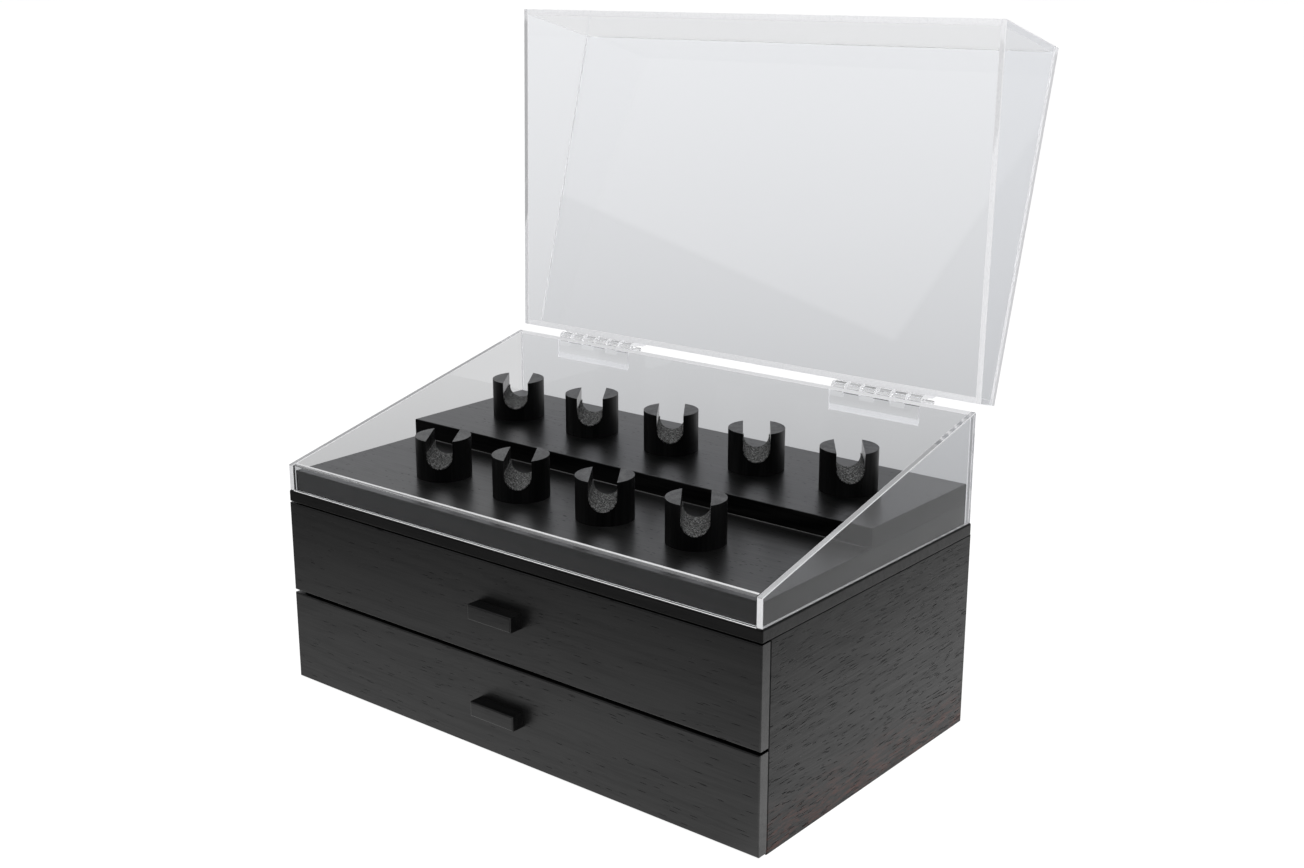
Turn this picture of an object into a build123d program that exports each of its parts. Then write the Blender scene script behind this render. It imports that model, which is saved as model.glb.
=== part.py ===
from build123d import *
import math
import os

# A tabletop display case for folding knives: a drawer cabinet in black stained wood, a clear
# hood with a sloping front and a hinged lid, and slotted posts that hold the knives.
# The origin is the centre of the cabinet's underside. +X is to the right as seen from the
# front, +Y runs to the back and +Z is up. All sizes are in millimetres.

# Cabinet carcass
case_width = 500.0
case_depth = 292.0
carcass_height = 165.5
side_board = 12.0
bottom_board = 9.0
back_board = 9.0
rail_thickness = 12.0
middle_rail_depth = 60.0
top_rail_depth = 50.0
top_board_thickness = 10.0
top_board_round = 1.5
carcass_round = 0.8

# Drawers
drawer_parting_gap = 2.6
drawer_front_thickness = 10.0
drawer_front_round = 1.2
front_standoff = 0.8
front_floor_clearance = 2.0
front_top_clearance = 1.2
drawer_board = 10.0
drawer_side_clearance = 1.0
drawer_back_clearance = 8.0
drawer_box_lift = 3.5
drawer_headroom = 3.25
drawer_bottom_thickness = 5.0
drawer_bottom_lift = 6.0
bottom_groove_depth = 4.0
bottom_groove_play = 0.1
bottom_edge_play = 0.2

# Wooden runners that the drawers hang on
runner_height = 10.0
runner_projection = 6.0
runner_play = 0.3
runner_tip_play = 0.5
runner_setback = 15.0
runner_stop_gap = 2.0

# Drawer pulls
handle_length = 46.5
handle_height = 12.5
handle_projection = 12.0
handle_round = 1.2
handle_drop = 0.5
handle_screw_spread = 28.0
handle_screw_bite = 8.0
handle_screw_radius = 2.0
handle_screw_head_radius = 3.75
handle_screw_head = 2.6

# Countersunk wood screws and dowels
screw_head_radius = 3.6
screw_head_depth = 2.4
screw_shank_radius = 1.8
screw_tip = 3.0
screw_play = 0.05
deck_screw_bite = 12.0
deck_screw_spacing = 160.0
cradle_screw_bite = 7.0
runner_screw_bite = 8.0
runner_screw_spacing = 90.0
dowel_radius = 3.0
dowel_length = 24.0
dowel_cover = 2.0
dowel_play = 0.05
dowel_end_play = 0.5
dowel_inset = 30.0
back_dowel_heights = (50.0, 125.0)

# Display deck inside the hood
plinth_thickness = 18.0
riser_thickness = 16.0
riser_depth = 142.0
deck_clearance = 0.5
deck_round = 0.8

# Slotted posts
cradle_diameter = 47.0
cradle_height = 35.0
slot_width = 22.5
slot_floor = 11.0
slot_turn = 36.0
cradle_round = 0.5
cradle_end_margin = 63.7
front_row_count = 4
back_row_count = 5
felt_thickness = 0.8
felt_play = 0.05
felt_setback = 0.3
felt_top_gap = 11.0

# Clear hood and lid
acrylic = 5.0
hood_inset = 0.8
hood_front_height = 22.8
hood_back_height = 92.8
lid_back_height = 25.1
lid_gap = 0.3
lid_open_angle = 105.0

# Clear hinges
hinge_length = 87.0
hinge_end_inset = 51.2
leaf_height = 20.0
leaf_thickness = 2.5
leaf_bevel = 5.0
leaf_edge = 0.9
knuckle_count = 6
knuckle_radius = 4.0
knuckle_gap = 1.2
knuckle_neck = 8.0
knuckle_clearance = 0.5
knuckle_wall_gap = 1.1
pin_radius = 1.5
pin_play = 0.05
pin_projection = 10.0

# Places worked out from the sizes above
case_front = -case_depth / 2
case_back = case_depth / 2
carcass_front = case_front + drawer_front_thickness + front_standoff
inner_half = case_width / 2 - side_board
back_panel_front = case_back - back_board
top_z = carcass_height + top_board_thickness
drawer_parting_height = carcass_height / 2
middle_rail_base = drawer_parting_height - rail_thickness / 2
top_rail_base = carcass_height - rail_thickness
front_rail_centre = carcass_front + top_rail_depth / 2
back_rail_centre = back_panel_front - top_rail_depth / 2
plinth_top = top_z + plinth_thickness
riser_top = plinth_top + riser_thickness

hood_width = case_width - 2 * hood_inset
hood_depth = case_depth - 2 * hood_inset
hood_back = case_back - hood_inset
parting_z = top_z + hood_back_height
parting_drop = hood_back_height - hood_front_height
hinge_offset = knuckle_radius + knuckle_wall_gap
hinge_y = hood_back + hinge_offset
hinge_centre = hood_width / 2 - hinge_end_inset - hinge_length / 2
knuckle_room = knuckle_radius + knuckle_clearance
leaf_start = math.sqrt(knuckle_room ** 2 - (hinge_offset - leaf_thickness) ** 2)

deck_width = hood_width - 2 * (acrylic + deck_clearance)
deck_depth = hood_depth - 2 * (acrylic + deck_clearance)
riser_centre = deck_depth / 2 - riser_depth / 2
front_row_y = -deck_depth / 2 + (deck_depth - riser_depth) / 2
back_row_y = riser_centre
cradle_spacing = (deck_width - 2 * cradle_end_margin) / (back_row_count - 1)

drawer_half = inner_half - drawer_side_clearance
box_front = case_front + drawer_front_thickness
box_back = back_panel_front - drawer_back_clearance
box_length = box_back - box_front
box_middle = (box_front + box_back) / 2
runner_front = carcass_front + runner_setback
runner_length = back_panel_front - runner_front
runner_middle = (runner_front + back_panel_front) / 2
lower_box_base = bottom_board + drawer_box_lift
upper_box_base = middle_rail_base + rail_thickness + drawer_box_lift
lower_box_height = middle_rail_base - drawer_headroom - lower_box_base
upper_box_height = top_rail_base - drawer_headroom - upper_box_base
runner_groove_depth = runner_projection - drawer_side_clearance + runner_tip_play

dowel_depth = side_board - dowel_cover
runner_screw_length = runner_projection + runner_screw_bite
deck_screw_length = rail_thickness + top_board_thickness + deck_screw_bite
handle_screw_length = drawer_board + drawer_front_thickness + handle_screw_bite

os.makedirs("parts", exist_ok=True)


def save(piece, name):
    """Labels a finished piece and writes it."""
    piece.part.label = name
    export_step(piece.part, f"parts/{name}.step")


def turn_screw(place, direction, length, play=0.0, mode=Mode.ADD):
    """Turns a countersunk wood screw or, with some play, the hole that takes it."""
    sideways = (0, 0, 1) if direction[2] == 0 else (0, 1, 0)
    outline = [
        (0, 0),
        (0, screw_head_radius + play),
        (screw_head_depth, screw_shank_radius + play),
        (length - screw_tip, screw_shank_radius + play),
        (length + play, 0),
    ]
    with BuildSketch(Plane(origin=place, x_dir=direction, z_dir=sideways), mode=Mode.PRIVATE) as half:
        with BuildLine():
            Polyline(outline, close=True)
        make_face()
    revolve(half.sketch, axis=Axis(place, direction), mode=mode)


def fit_dowel(side, y, z, play=0.0, end_play=0.0, mode=Mode.ADD):
    """Makes a dowel across the joint of a side panel or, with some play, its hole."""
    start = side * (inner_half + dowel_depth + end_play)
    with BuildSketch(Plane(origin=(start, y, z), z_dir=(-side, 0, 0)), mode=Mode.PRIVATE) as end:
        Circle(dowel_radius + play)
    extrude(end.sketch, amount=dowel_length + 2 * end_play, mode=mode)


def cut_dowel_holes(places, sides=(-1, 1)):
    """Cuts the dowel holes at the given places in the board that is being built."""
    for side in sides:
        for y, z in places:
            fit_dowel(side, y, z, dowel_play, dowel_end_play, Mode.SUBTRACT)


bottom_dowels = [
    (carcass_front + dowel_inset, bottom_board / 2),
    (0, bottom_board / 2),
    (case_back - dowel_inset, bottom_board / 2),
]
middle_rail_dowels = [(carcass_front + middle_rail_depth / 2, drawer_parting_height)]
front_rail_dowels = [(front_rail_centre, top_rail_base + rail_thickness / 2)]
back_rail_dowels = [(back_rail_centre, top_rail_base + rail_thickness / 2)]
back_dowels = [(case_back - back_board / 2, height) for height in back_dowel_heights]
all_dowels = bottom_dowels + middle_rail_dowels + front_rail_dowels + back_rail_dowels + back_dowels

runner_heights = {
    "lower": lower_box_base + lower_box_height / 2,
    "upper": upper_box_base + upper_box_height / 2,
}
runner_screw_rows = [runner_middle + step * runner_screw_spacing for step in (-1, 0, 1)]
deck_screw_places = [
    (step * deck_screw_spacing, y, top_rail_base)
    for y in (front_rail_centre, back_rail_centre)
    for step in (-1, 0, 1)
]


def cut_runner_screw_holes(side, heights):
    """Cuts the screw holes that fix the runners of one side."""
    for height in heights:
        for y in runner_screw_rows:
            head = (side * (inner_half - runner_projection), y, height)
            turn_screw(head, (side, 0, 0), runner_screw_length, screw_play, Mode.SUBTRACT)


def cut_deck_screw_holes():
    """Cuts the screw holes that fix the top rails, the top board and the plinth together."""
    for place in deck_screw_places:
        turn_screw(place, (0, 0, 1), deck_screw_length, screw_play, Mode.SUBTRACT)


# Side panels, doweled to every cross board and carrying the runners
for side, word in ((-1, "left"), (1, "right")):
    panel_centre = (side * (inner_half + side_board / 2), (carcass_front + case_back) / 2)
    with BuildPart() as side_panel:
        with BuildSketch():
            with Locations(panel_centre):
                Rectangle(side_board, case_back - carcass_front)
        extrude(amount=carcass_height)
        outer_face = side_panel.faces().filter_by(Axis.X).sort_by(Axis.X)[-1 if side > 0 else 0]
        fillet(outer_face.edges(), carcass_round)
        cut_dowel_holes(all_dowels, sides=(side,))
        cut_runner_screw_holes(side, runner_heights.values())
    save(side_panel, f"side_panel_{word}")

# Bottom board between the side panels
with BuildPart() as bottom_panel:
    with BuildSketch():
        with Locations((0, (carcass_front + case_back) / 2)):
            Rectangle(2 * inner_half, case_back - carcass_front)
    extrude(amount=bottom_board)
    cut_dowel_holes(bottom_dowels)
save(bottom_panel, "bottom_panel")

# Back panel standing on the bottom board
with BuildPart() as back_panel:
    with BuildSketch(Plane.XY.offset(bottom_board)):
        with Locations((0, case_back - back_board / 2)):
            Rectangle(2 * inner_half, back_board)
    extrude(amount=carcass_height - bottom_board)
    cut_dowel_holes(back_dowels)
save(back_panel, "back_panel")

# Rail behind the gap between the two drawer fronts
with BuildPart() as middle_rail:
    with BuildSketch(Plane.XY.offset(middle_rail_base)):
        with Locations((0, carcass_front + middle_rail_depth / 2)):
            Rectangle(2 * inner_half, middle_rail_depth)
    extrude(amount=rail_thickness)
    cut_dowel_holes(middle_rail_dowels)
save(middle_rail, "middle_rail")

# Rails under the top board, front and back
for word, rail_centre, rail_dowels in (
    ("front", front_rail_centre, front_rail_dowels),
    ("back", back_rail_centre, back_rail_dowels),
):
    with BuildPart() as top_rail:
        with BuildSketch(Plane.XY.offset(top_rail_base)):
            with Locations((0, rail_centre)):
                Rectangle(2 * inner_half, top_rail_depth)
        extrude(amount=rail_thickness)
        cut_dowel_holes(rail_dowels)
        cut_deck_screw_holes()
    save(top_rail, f"top_rail_{word}")

# Dowels of the whole carcass
with BuildPart() as carcass_dowels:
    for side in (-1, 1):
        for y, z in all_dowels:
            fit_dowel(side, y, z)
save(carcass_dowels, "carcass_dowels")

# Top board over the carcass and the drawer fronts
with BuildPart() as top_board:
    with BuildSketch(Plane.XY.offset(carcass_height)):
        Rectangle(case_width, case_depth)
    extrude(amount=top_board_thickness)
    fillet(top_board.edges().filter_by(Axis.Z), top_board_round)
    fillet(top_board.faces().sort_by(Axis.Z)[-1].edges(), top_board_round)
    fillet(top_board.faces().sort_by(Axis.Z)[0].edges(), top_board_round / 2)
    cut_deck_screw_holes()
save(top_board, "top_board")

# Runners, screwed to the side panels
for level, height in runner_heights.items():
    for side, word in ((-1, "left"), (1, "right")):
        with BuildPart() as runner:
            with BuildSketch(Plane.XY.offset(height - runner_height / 2)):
                with Locations((side * (inner_half - runner_projection / 2), runner_middle)):
                    Rectangle(runner_projection, runner_length)
            extrude(amount=runner_height)
            cut_runner_screw_holes(side, (height,))
        save(runner, f"runner_{level}_{word}")

with BuildPart() as runner_screws:
    for side in (-1, 1):
        for height in runner_heights.values():
            for y in runner_screw_rows:
                head = (side * (inner_half - runner_projection), y, height)
                turn_screw(head, (side, 0, 0), runner_screw_length)
save(runner_screws, "runner_screws")

with BuildPart() as deck_screws:
    for place in deck_screw_places:
        turn_screw(place, (0, 0, 1), deck_screw_length)
save(deck_screws, "deck_screws")


def row_places(count, y, board_top):
    """Gives the centres of one row of posts, evenly spaced about the middle."""
    first = -cradle_spacing * (count - 1) / 2
    return [(first + step * cradle_spacing, y, board_top) for step in range(count)]


front_row = row_places(front_row_count, front_row_y, plinth_top)
back_row = row_places(back_row_count, back_row_y, riser_top)


def cut_cradle_screw_holes(row, board_thickness):
    """Cuts the screw holes that fix one row of posts through the board below them."""
    length = board_thickness + cradle_screw_bite
    for x, y, board_top in row:
        head = (x, y, board_top - board_thickness)
        turn_screw(head, (0, 0, 1), length, screw_play, Mode.SUBTRACT)


# Plinth: the deck that fills the hood's floor
with BuildPart() as plinth_board:
    with BuildSketch(Plane.XY.offset(top_z)):
        Rectangle(deck_width, deck_depth)
    extrude(amount=plinth_thickness)
    fillet(plinth_board.faces().sort_by(Axis.Z)[-1].edges(), deck_round)
    cut_deck_screw_holes()
    cut_cradle_screw_holes(front_row, plinth_thickness)
save(plinth_board, "plinth_board")

# Riser: the step under the back row
with BuildPart() as riser_board:
    with BuildSketch(Plane.XY.offset(plinth_top)):
        with Locations((0, riser_centre)):
            Rectangle(deck_width, riser_depth)
    extrude(amount=riser_thickness)
    fillet(riser_board.faces().sort_by(Axis.Z)[-1].edges(), deck_round)
    lower_edges = riser_board.faces().sort_by(Axis.Z)[0].edges().filter_by(Axis.X)
    chamfer(lower_edges.sort_by(Axis.Y)[0], deck_round)
    cut_cradle_screw_holes(back_row, riser_thickness)
save(riser_board, "riser_board")


def slot_plane(x, y, base):
    """Gives the upright plane across a post's slot, with its normal along the slot."""
    turn = math.radians(slot_turn)
    across = (math.cos(turn), math.sin(turn), 0)
    towards_front = (math.sin(turn), -math.cos(turn), 0)
    return Plane(origin=(x, y, base), x_dir=across, z_dir=towards_front)


def sketch_slot(radius, top):
    """Draws a round-bottomed slot of the given radius about the slot's centre line."""
    centre_height = slot_floor + slot_width / 2
    with Locations((0, centre_height)):
        Circle(radius)
    with Locations((0, (centre_height + top) / 2)):
        Rectangle(2 * radius, top - centre_height)


def make_cradle(x, y, base, board_thickness):
    """Makes one slotted post standing on a board of the given thickness."""
    with BuildPart() as cradle:
        with BuildSketch(Plane.XY.offset(base)):
            with Locations((x, y)):
                Circle(cradle_diameter / 2)
        extrude(amount=cradle_height)
        fillet(cradle.faces().sort_by(Axis.Z)[-1].edges(), cradle_round)
        with BuildSketch(slot_plane(x, y, base)):
            sketch_slot(slot_width / 2, cradle_height + 1)
        extrude(amount=cradle_diameter, both=True, mode=Mode.SUBTRACT)
        cut_cradle_screw_holes([(x, y, base)], board_thickness)
    return cradle


def make_lining(x, y, base):
    """Makes the felt strip that lines one post's slot, cut to the post's round side."""
    with BuildPart() as lining:
        with BuildSketch(slot_plane(x, y, base)):
            sketch_slot(slot_width / 2 - felt_play, cradle_height - felt_top_gap)
        extrude(amount=cradle_diameter, both=True)
        with BuildSketch(slot_plane(x, y, base)):
            sketch_slot(slot_width / 2 - felt_play - felt_thickness, cradle_height)
        extrude(amount=cradle_diameter, both=True, mode=Mode.SUBTRACT)
        with BuildSketch(Plane.XY.offset(base)):
            with Locations((x, y)):
                Circle(cradle_diameter / 2 - felt_setback)
        extrude(amount=cradle_height, mode=Mode.INTERSECT)
    return lining


# Posts, felt linings and the screws from below
cradle_rows = {"front": (front_row, plinth_thickness), "back": (back_row, riser_thickness)}
for word, (row, board_thickness) in cradle_rows.items():
    for number, place in enumerate(row, start=1):
        save(make_cradle(*place, board_thickness), f"cradle_{word}_{number}")

linings = [make_lining(*place).part for place in front_row + back_row]
with BuildPart() as felt_linings:
    add(linings)
save(felt_linings, "felt_linings")

with BuildPart() as cradle_screws:
    for row, board_thickness in cradle_rows.values():
        for x, y, board_top in row:
            head = (x, y, board_top - board_thickness)
            turn_screw(head, (0, 0, 1), board_thickness + cradle_screw_bite)
save(cradle_screws, "cradle_screws")


def swing_frame(angle):
    """Gives the frame of what turns about the hinge line, opened by an angle in degrees."""
    turn = math.radians(angle)
    return Plane(origin=(0, hinge_y, parting_z), x_dir=(1, 0, 0), z_dir=(0, math.sin(turn), math.cos(turn)))


def upright_plane(frame, x):
    """Gives the plane square to the hinge line at x: its own axes are the frame's Y and Z."""
    return Plane(origin=frame.from_local_coords((x, 0, 0)), x_dir=frame.y_dir, z_dir=frame.x_dir)


def make_slab(frame, points, start, length):
    """Makes a slab of the given outline, square to the hinge line, from start along X."""
    with BuildPart() as slab:
        with BuildSketch(upright_plane(frame, start)):
            with BuildLine():
                Polyline(points, close=True)
            make_face()
        extrude(amount=length)
    return slab


# Outlines in the frame of the hinge line: Y to the back, Z up, both with the lid closed
wall_back = -hinge_offset
wall_front = wall_back - hood_depth
hood_floor = -hood_back_height
lid_underside = lid_back_height - acrylic


def slope_at(y):
    """Gives the height of the sloping joint between hood and lid at a depth y."""
    return (y - wall_back) * parting_drop / hood_depth


def hood_outline(near, far):
    """Outlines the hood between two depths, from its floor up to the sloping joint."""
    return [(near, hood_floor), (far, hood_floor), (far, slope_at(far)), (near, slope_at(near))]


def lid_outline(near, far):
    """Outlines the lid between two depths, from the sloping joint up to its top panel."""
    return [
        (near, slope_at(near) + lid_gap),
        (far, slope_at(far) + lid_gap),
        (far, lid_underside),
        (near, lid_underside),
    ]


fixed_frame = swing_frame(0)
lid_frame = swing_frame(lid_open_angle)
half_width = hood_width / 2
cross_width = hood_width - 2 * acrylic

# Hood and lid walls: the side walls run the whole depth, front and back walls fit between them
for name, frame, outline in (("hood", fixed_frame, hood_outline), ("lid", lid_frame, lid_outline)):
    whole = outline(wall_front, wall_back)
    front = outline(wall_front, wall_front + acrylic)
    back = outline(wall_back - acrylic, wall_back)
    save(make_slab(frame, whole, -half_width, acrylic), f"{name}_side_left")
    save(make_slab(frame, whole, half_width - acrylic, acrylic), f"{name}_side_right")
    save(make_slab(frame, front, -half_width + acrylic, cross_width), f"{name}_front")
    save(make_slab(frame, back, -half_width + acrylic, cross_width), f"{name}_back")

lid_top_outline = [
    (wall_front, lid_underside),
    (wall_back, lid_underside),
    (wall_back, lid_back_height),
    (wall_front, lid_back_height),
]
save(make_slab(lid_frame, lid_top_outline, -half_width, hood_width), "lid_top")

knuckle_pitch = (hinge_length + knuckle_gap) / knuckle_count
knuckle_length = knuckle_pitch - knuckle_gap


def make_leaf(frame, centre, way, knuckles):
    """Makes a hinge leaf with its knuckles. The leaf runs up for way 1 and down for way -1."""
    leaf_face = wall_back + leaf_thickness
    plate = [
        (wall_back, way * leaf_start),
        (leaf_face, way * leaf_start),
        (leaf_face, way * (leaf_height - leaf_bevel)),
        (wall_back + leaf_edge, way * leaf_height),
        (wall_back, way * leaf_height),
    ]
    neck = [
        (wall_back, way * knuckle_clearance),
        (wall_back, way * knuckle_neck),
        (leaf_face, way * knuckle_neck),
        (0, way * knuckle_radius),
        (0, way * knuckle_clearance),
    ]
    start = centre - hinge_length / 2
    with BuildPart() as leaf:
        with BuildSketch(upright_plane(frame, start)):
            with BuildLine():
                Polyline(plate, close=True)
            make_face()
        extrude(amount=hinge_length)
        for number in knuckles:
            with BuildSketch(upright_plane(frame, start + number * knuckle_pitch)):
                with BuildLine():
                    Polyline(neck, close=True)
                make_face()
                Circle(knuckle_radius)
            extrude(amount=knuckle_length)
        with BuildSketch(upright_plane(frame, start)):
            Circle(pin_radius + pin_play)
        extrude(amount=hinge_length, mode=Mode.SUBTRACT)
    return leaf


# Two clear hinges on the outside of the back walls
for side, word in ((-1, "left"), (1, "right")):
    centre = side * hinge_centre
    lower_knuckles = range(0, knuckle_count, 2)
    upper_knuckles = range(1, knuckle_count, 2)
    save(make_leaf(fixed_frame, centre, -1, lower_knuckles), f"hinge_base_leaf_{word}")
    save(make_leaf(lid_frame, centre, 1, upper_knuckles), f"hinge_lid_leaf_{word}")
    with BuildPart() as hinge_pin:
        with BuildSketch(upright_plane(fixed_frame, centre - hinge_length / 2)):
            Circle(pin_radius)
        extrude(amount=hinge_length + pin_projection)
        fillet(hinge_pin.edges().filter_by(GeomType.CIRCLE), pin_radius / 3)
    save(hinge_pin, f"hinge_pin_{word}")


def groove_band(base):
    """Gives the middle height and the height of the groove for a drawer's bottom."""
    height = drawer_bottom_thickness + 2 * bottom_groove_play
    return base + drawer_bottom_lift + drawer_bottom_thickness / 2, height


def handle_screw_places(height):
    """Gives the two screw centres of a drawer pull, on the inside of the drawer."""
    inside = box_front + drawer_board
    return [(step * handle_screw_spread / 2, inside, height) for step in (-1, 1)]


def turn_handle_screw(place, play=0.0, mode=Mode.ADD):
    """Turns a pan-head screw that points to the front or, with some play, its hole."""
    outline = [
        (-handle_screw_head, 0),
        (-handle_screw_head, handle_screw_head_radius + play),
        (0, handle_screw_head_radius + play),
        (0, handle_screw_radius + play),
        (handle_screw_length + play, handle_screw_radius + play),
        (handle_screw_length + play, 0),
    ]
    with BuildSketch(Plane(origin=place, x_dir=(0, -1, 0), z_dir=(1, 0, 0)), mode=Mode.PRIVATE) as half:
        with BuildLine():
            Polyline(outline, close=True)
        make_face()
    revolve(half.sketch, axis=Axis(place, (0, -1, 0)), mode=mode)


def cut_handle_screw_holes(height):
    """Cuts both screw holes of a drawer pull."""
    for place in handle_screw_places(height):
        turn_handle_screw(place, screw_play, Mode.SUBTRACT)


def make_drawer(level, front_base, front_top, box_base, box_height):
    """Makes the pieces of one drawer."""
    handle_centre = (front_base + front_top) / 2 - handle_drop
    groove_middle, groove_height = groove_band(box_base)
    inner_width = 2 * (drawer_half - drawer_board)
    groove_span = inner_width + 2 * bottom_groove_depth
    groove_reach = box_length - 2 * drawer_board + 2 * bottom_groove_depth
    groove_base = groove_middle - groove_height / 2

    with BuildPart() as front:
        with BuildSketch(Plane.XY.offset(front_base)):
            with Locations((0, case_front + drawer_front_thickness / 2)):
                Rectangle(case_width, drawer_front_thickness)
        extrude(amount=front_top - front_base)
        fillet(front.faces().sort_by(Axis.Y)[0].edges(), drawer_front_round)
        cut_handle_screw_holes(handle_centre)
    save(front, f"{level}_drawer_front")

    with BuildPart() as inner_front:
        with BuildSketch(Plane.XY.offset(box_base)):
            with Locations((0, box_front + drawer_board / 2)):
                Rectangle(inner_width, drawer_board)
        extrude(amount=box_height)
        with BuildSketch(Plane.XY.offset(groove_base)):
            with Locations((0, box_middle)):
                Rectangle(groove_span, groove_reach)
        extrude(amount=groove_height, mode=Mode.SUBTRACT)
        cut_handle_screw_holes(handle_centre)
    save(inner_front, f"{level}_drawer_inner_front")

    with BuildPart() as back:
        with BuildSketch(Plane.XY.offset(box_base)):
            with Locations((0, box_back - drawer_board / 2)):
                Rectangle(inner_width, drawer_board)
        extrude(amount=box_height)
        with BuildSketch(Plane.XY.offset(groove_base)):
            with Locations((0, box_middle)):
                Rectangle(groove_span, groove_reach)
        extrude(amount=groove_height, mode=Mode.SUBTRACT)
    save(back, f"{level}_drawer_back")

    runner_groove_front = runner_front - runner_stop_gap
    runner_groove_middle = (runner_groove_front + box_back) / 2
    for side, word in ((-1, "left"), (1, "right")):
        with BuildPart() as drawer_side:
            with BuildSketch(Plane.XY.offset(box_base)):
                with Locations((side * (drawer_half - drawer_board / 2), box_middle)):
                    Rectangle(drawer_board, box_length)
            extrude(amount=box_height)
            with BuildSketch(Plane.XY.offset(groove_base)):
                with Locations((0, box_middle)):
                    Rectangle(groove_span, groove_reach)
            extrude(amount=groove_height, mode=Mode.SUBTRACT)
            with BuildSketch(Plane.XY.offset(runner_heights[level] - runner_height / 2 - runner_play)):
                with Locations((side * (drawer_half - runner_groove_depth / 2), runner_groove_middle)):
                    Rectangle(runner_groove_depth, box_back - runner_groove_front)
            extrude(amount=runner_height + 2 * runner_play, mode=Mode.SUBTRACT)
        save(drawer_side, f"{level}_drawer_side_{word}")

    with BuildPart() as drawer_bottom:
        with BuildSketch(Plane.XY.offset(groove_middle - drawer_bottom_thickness / 2)):
            with Locations((0, box_middle)):
                Rectangle(groove_span - 2 * bottom_edge_play, groove_reach - 2 * bottom_edge_play)
        extrude(amount=drawer_bottom_thickness)
    save(drawer_bottom, f"{level}_drawer_bottom")

    with BuildPart() as handle:
        with BuildSketch(Plane.XY.offset(handle_centre - handle_height / 2)):
            with Locations((0, case_front - handle_projection / 2)):
                Rectangle(handle_length, handle_projection)
        extrude(amount=handle_height)
        fillet(handle.faces().sort_by(Axis.Y)[0].edges(), handle_round)
        cut_handle_screw_holes(handle_centre)
    save(handle, f"{level}_handle")

    with BuildPart() as handle_screws:
        for place in handle_screw_places(handle_centre):
            turn_handle_screw(place)
    save(handle_screws, f"{level}_handle_screws")


lower_front_top = drawer_parting_height - drawer_parting_gap / 2
upper_front_base = drawer_parting_height + drawer_parting_gap / 2
upper_front_top = carcass_height - front_top_clearance
make_drawer("lower", front_floor_clearance, lower_front_top, lower_box_base, lower_box_height)
make_drawer("upper", upper_front_base, upper_front_top, upper_box_base, upper_box_height)
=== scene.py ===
"""Looks of a tabletop display case for folding knives.

The case is a drawer cabinet in black-stained open-grain wood with a clear acrylic hood and a
hinged acrylic lid, which stands open. Slotted posts with felt linings stand on a stepped deck.
All lengths are in metres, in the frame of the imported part: +X right, +Y back, +Z up.
"""

from __future__ import annotations

import logging
import math
from collections.abc import Iterator
from contextlib import contextmanager
from dataclasses import dataclass, field, replace
from enum import Enum, IntEnum
from typing import NamedTuple

import bpy
from mathutils import Matrix, Vector

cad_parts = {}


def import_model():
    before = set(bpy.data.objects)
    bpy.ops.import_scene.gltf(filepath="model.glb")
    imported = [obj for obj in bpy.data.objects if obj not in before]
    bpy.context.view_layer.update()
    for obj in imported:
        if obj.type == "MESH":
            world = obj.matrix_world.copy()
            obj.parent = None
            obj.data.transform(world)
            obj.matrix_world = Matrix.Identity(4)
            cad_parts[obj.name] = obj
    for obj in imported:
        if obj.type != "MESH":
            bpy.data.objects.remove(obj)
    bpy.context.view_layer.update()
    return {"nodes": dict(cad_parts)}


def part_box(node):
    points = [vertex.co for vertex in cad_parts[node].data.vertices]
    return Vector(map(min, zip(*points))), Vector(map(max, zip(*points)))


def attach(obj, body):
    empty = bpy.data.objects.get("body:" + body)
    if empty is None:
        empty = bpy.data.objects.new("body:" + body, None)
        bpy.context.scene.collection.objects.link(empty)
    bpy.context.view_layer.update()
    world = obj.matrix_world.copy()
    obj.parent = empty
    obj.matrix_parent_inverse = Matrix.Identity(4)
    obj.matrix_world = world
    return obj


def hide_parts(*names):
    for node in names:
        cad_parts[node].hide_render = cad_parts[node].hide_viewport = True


LOG = logging.getLogger("display_case")
MM = 0.001
HAIR = 1e-6
QUARTER_TURN = math.radians(90)

Colour = tuple[float, float, float]
Triple = tuple[float, float, float]
Socket = bpy.types.NodeSocket

STILL: Triple = (0.0, 0.0, 0.0)
EVEN: Triple = (1.0, 1.0, 1.0)
WHITE: Colour = (1.0, 1.0, 1.0)


class Grain(Enum):
    """The way a board's grain runs, as the turn that lays it along X."""

    ALONG_X = STILL
    ALONG_Y = (0.0, 0.0, QUARTER_TURN)
    ALONG_Z = (0.0, QUARTER_TURN, 0.0)


class Keep(Enum):
    """The part of a piece that a cutting tool leaves, as the boolean's operation."""

    OUTSIDE = "DIFFERENCE"
    INSIDE = "INTERSECT"


class Ramp(NamedTuple):
    """A ramp between two levels.

    Attributes:
        low: Value where it begins.
        high: Value where it ends.
        at_low: Level up to its beginning.
        at_high: Level past its end.
    """

    low: float
    high: float
    at_low: float
    at_high: float


def opaque(colour: Colour) -> tuple[float, float, float, float]:
    """Gives a colour the fourth number that a colour socket wants."""
    return (*colour, 1.0)


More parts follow.
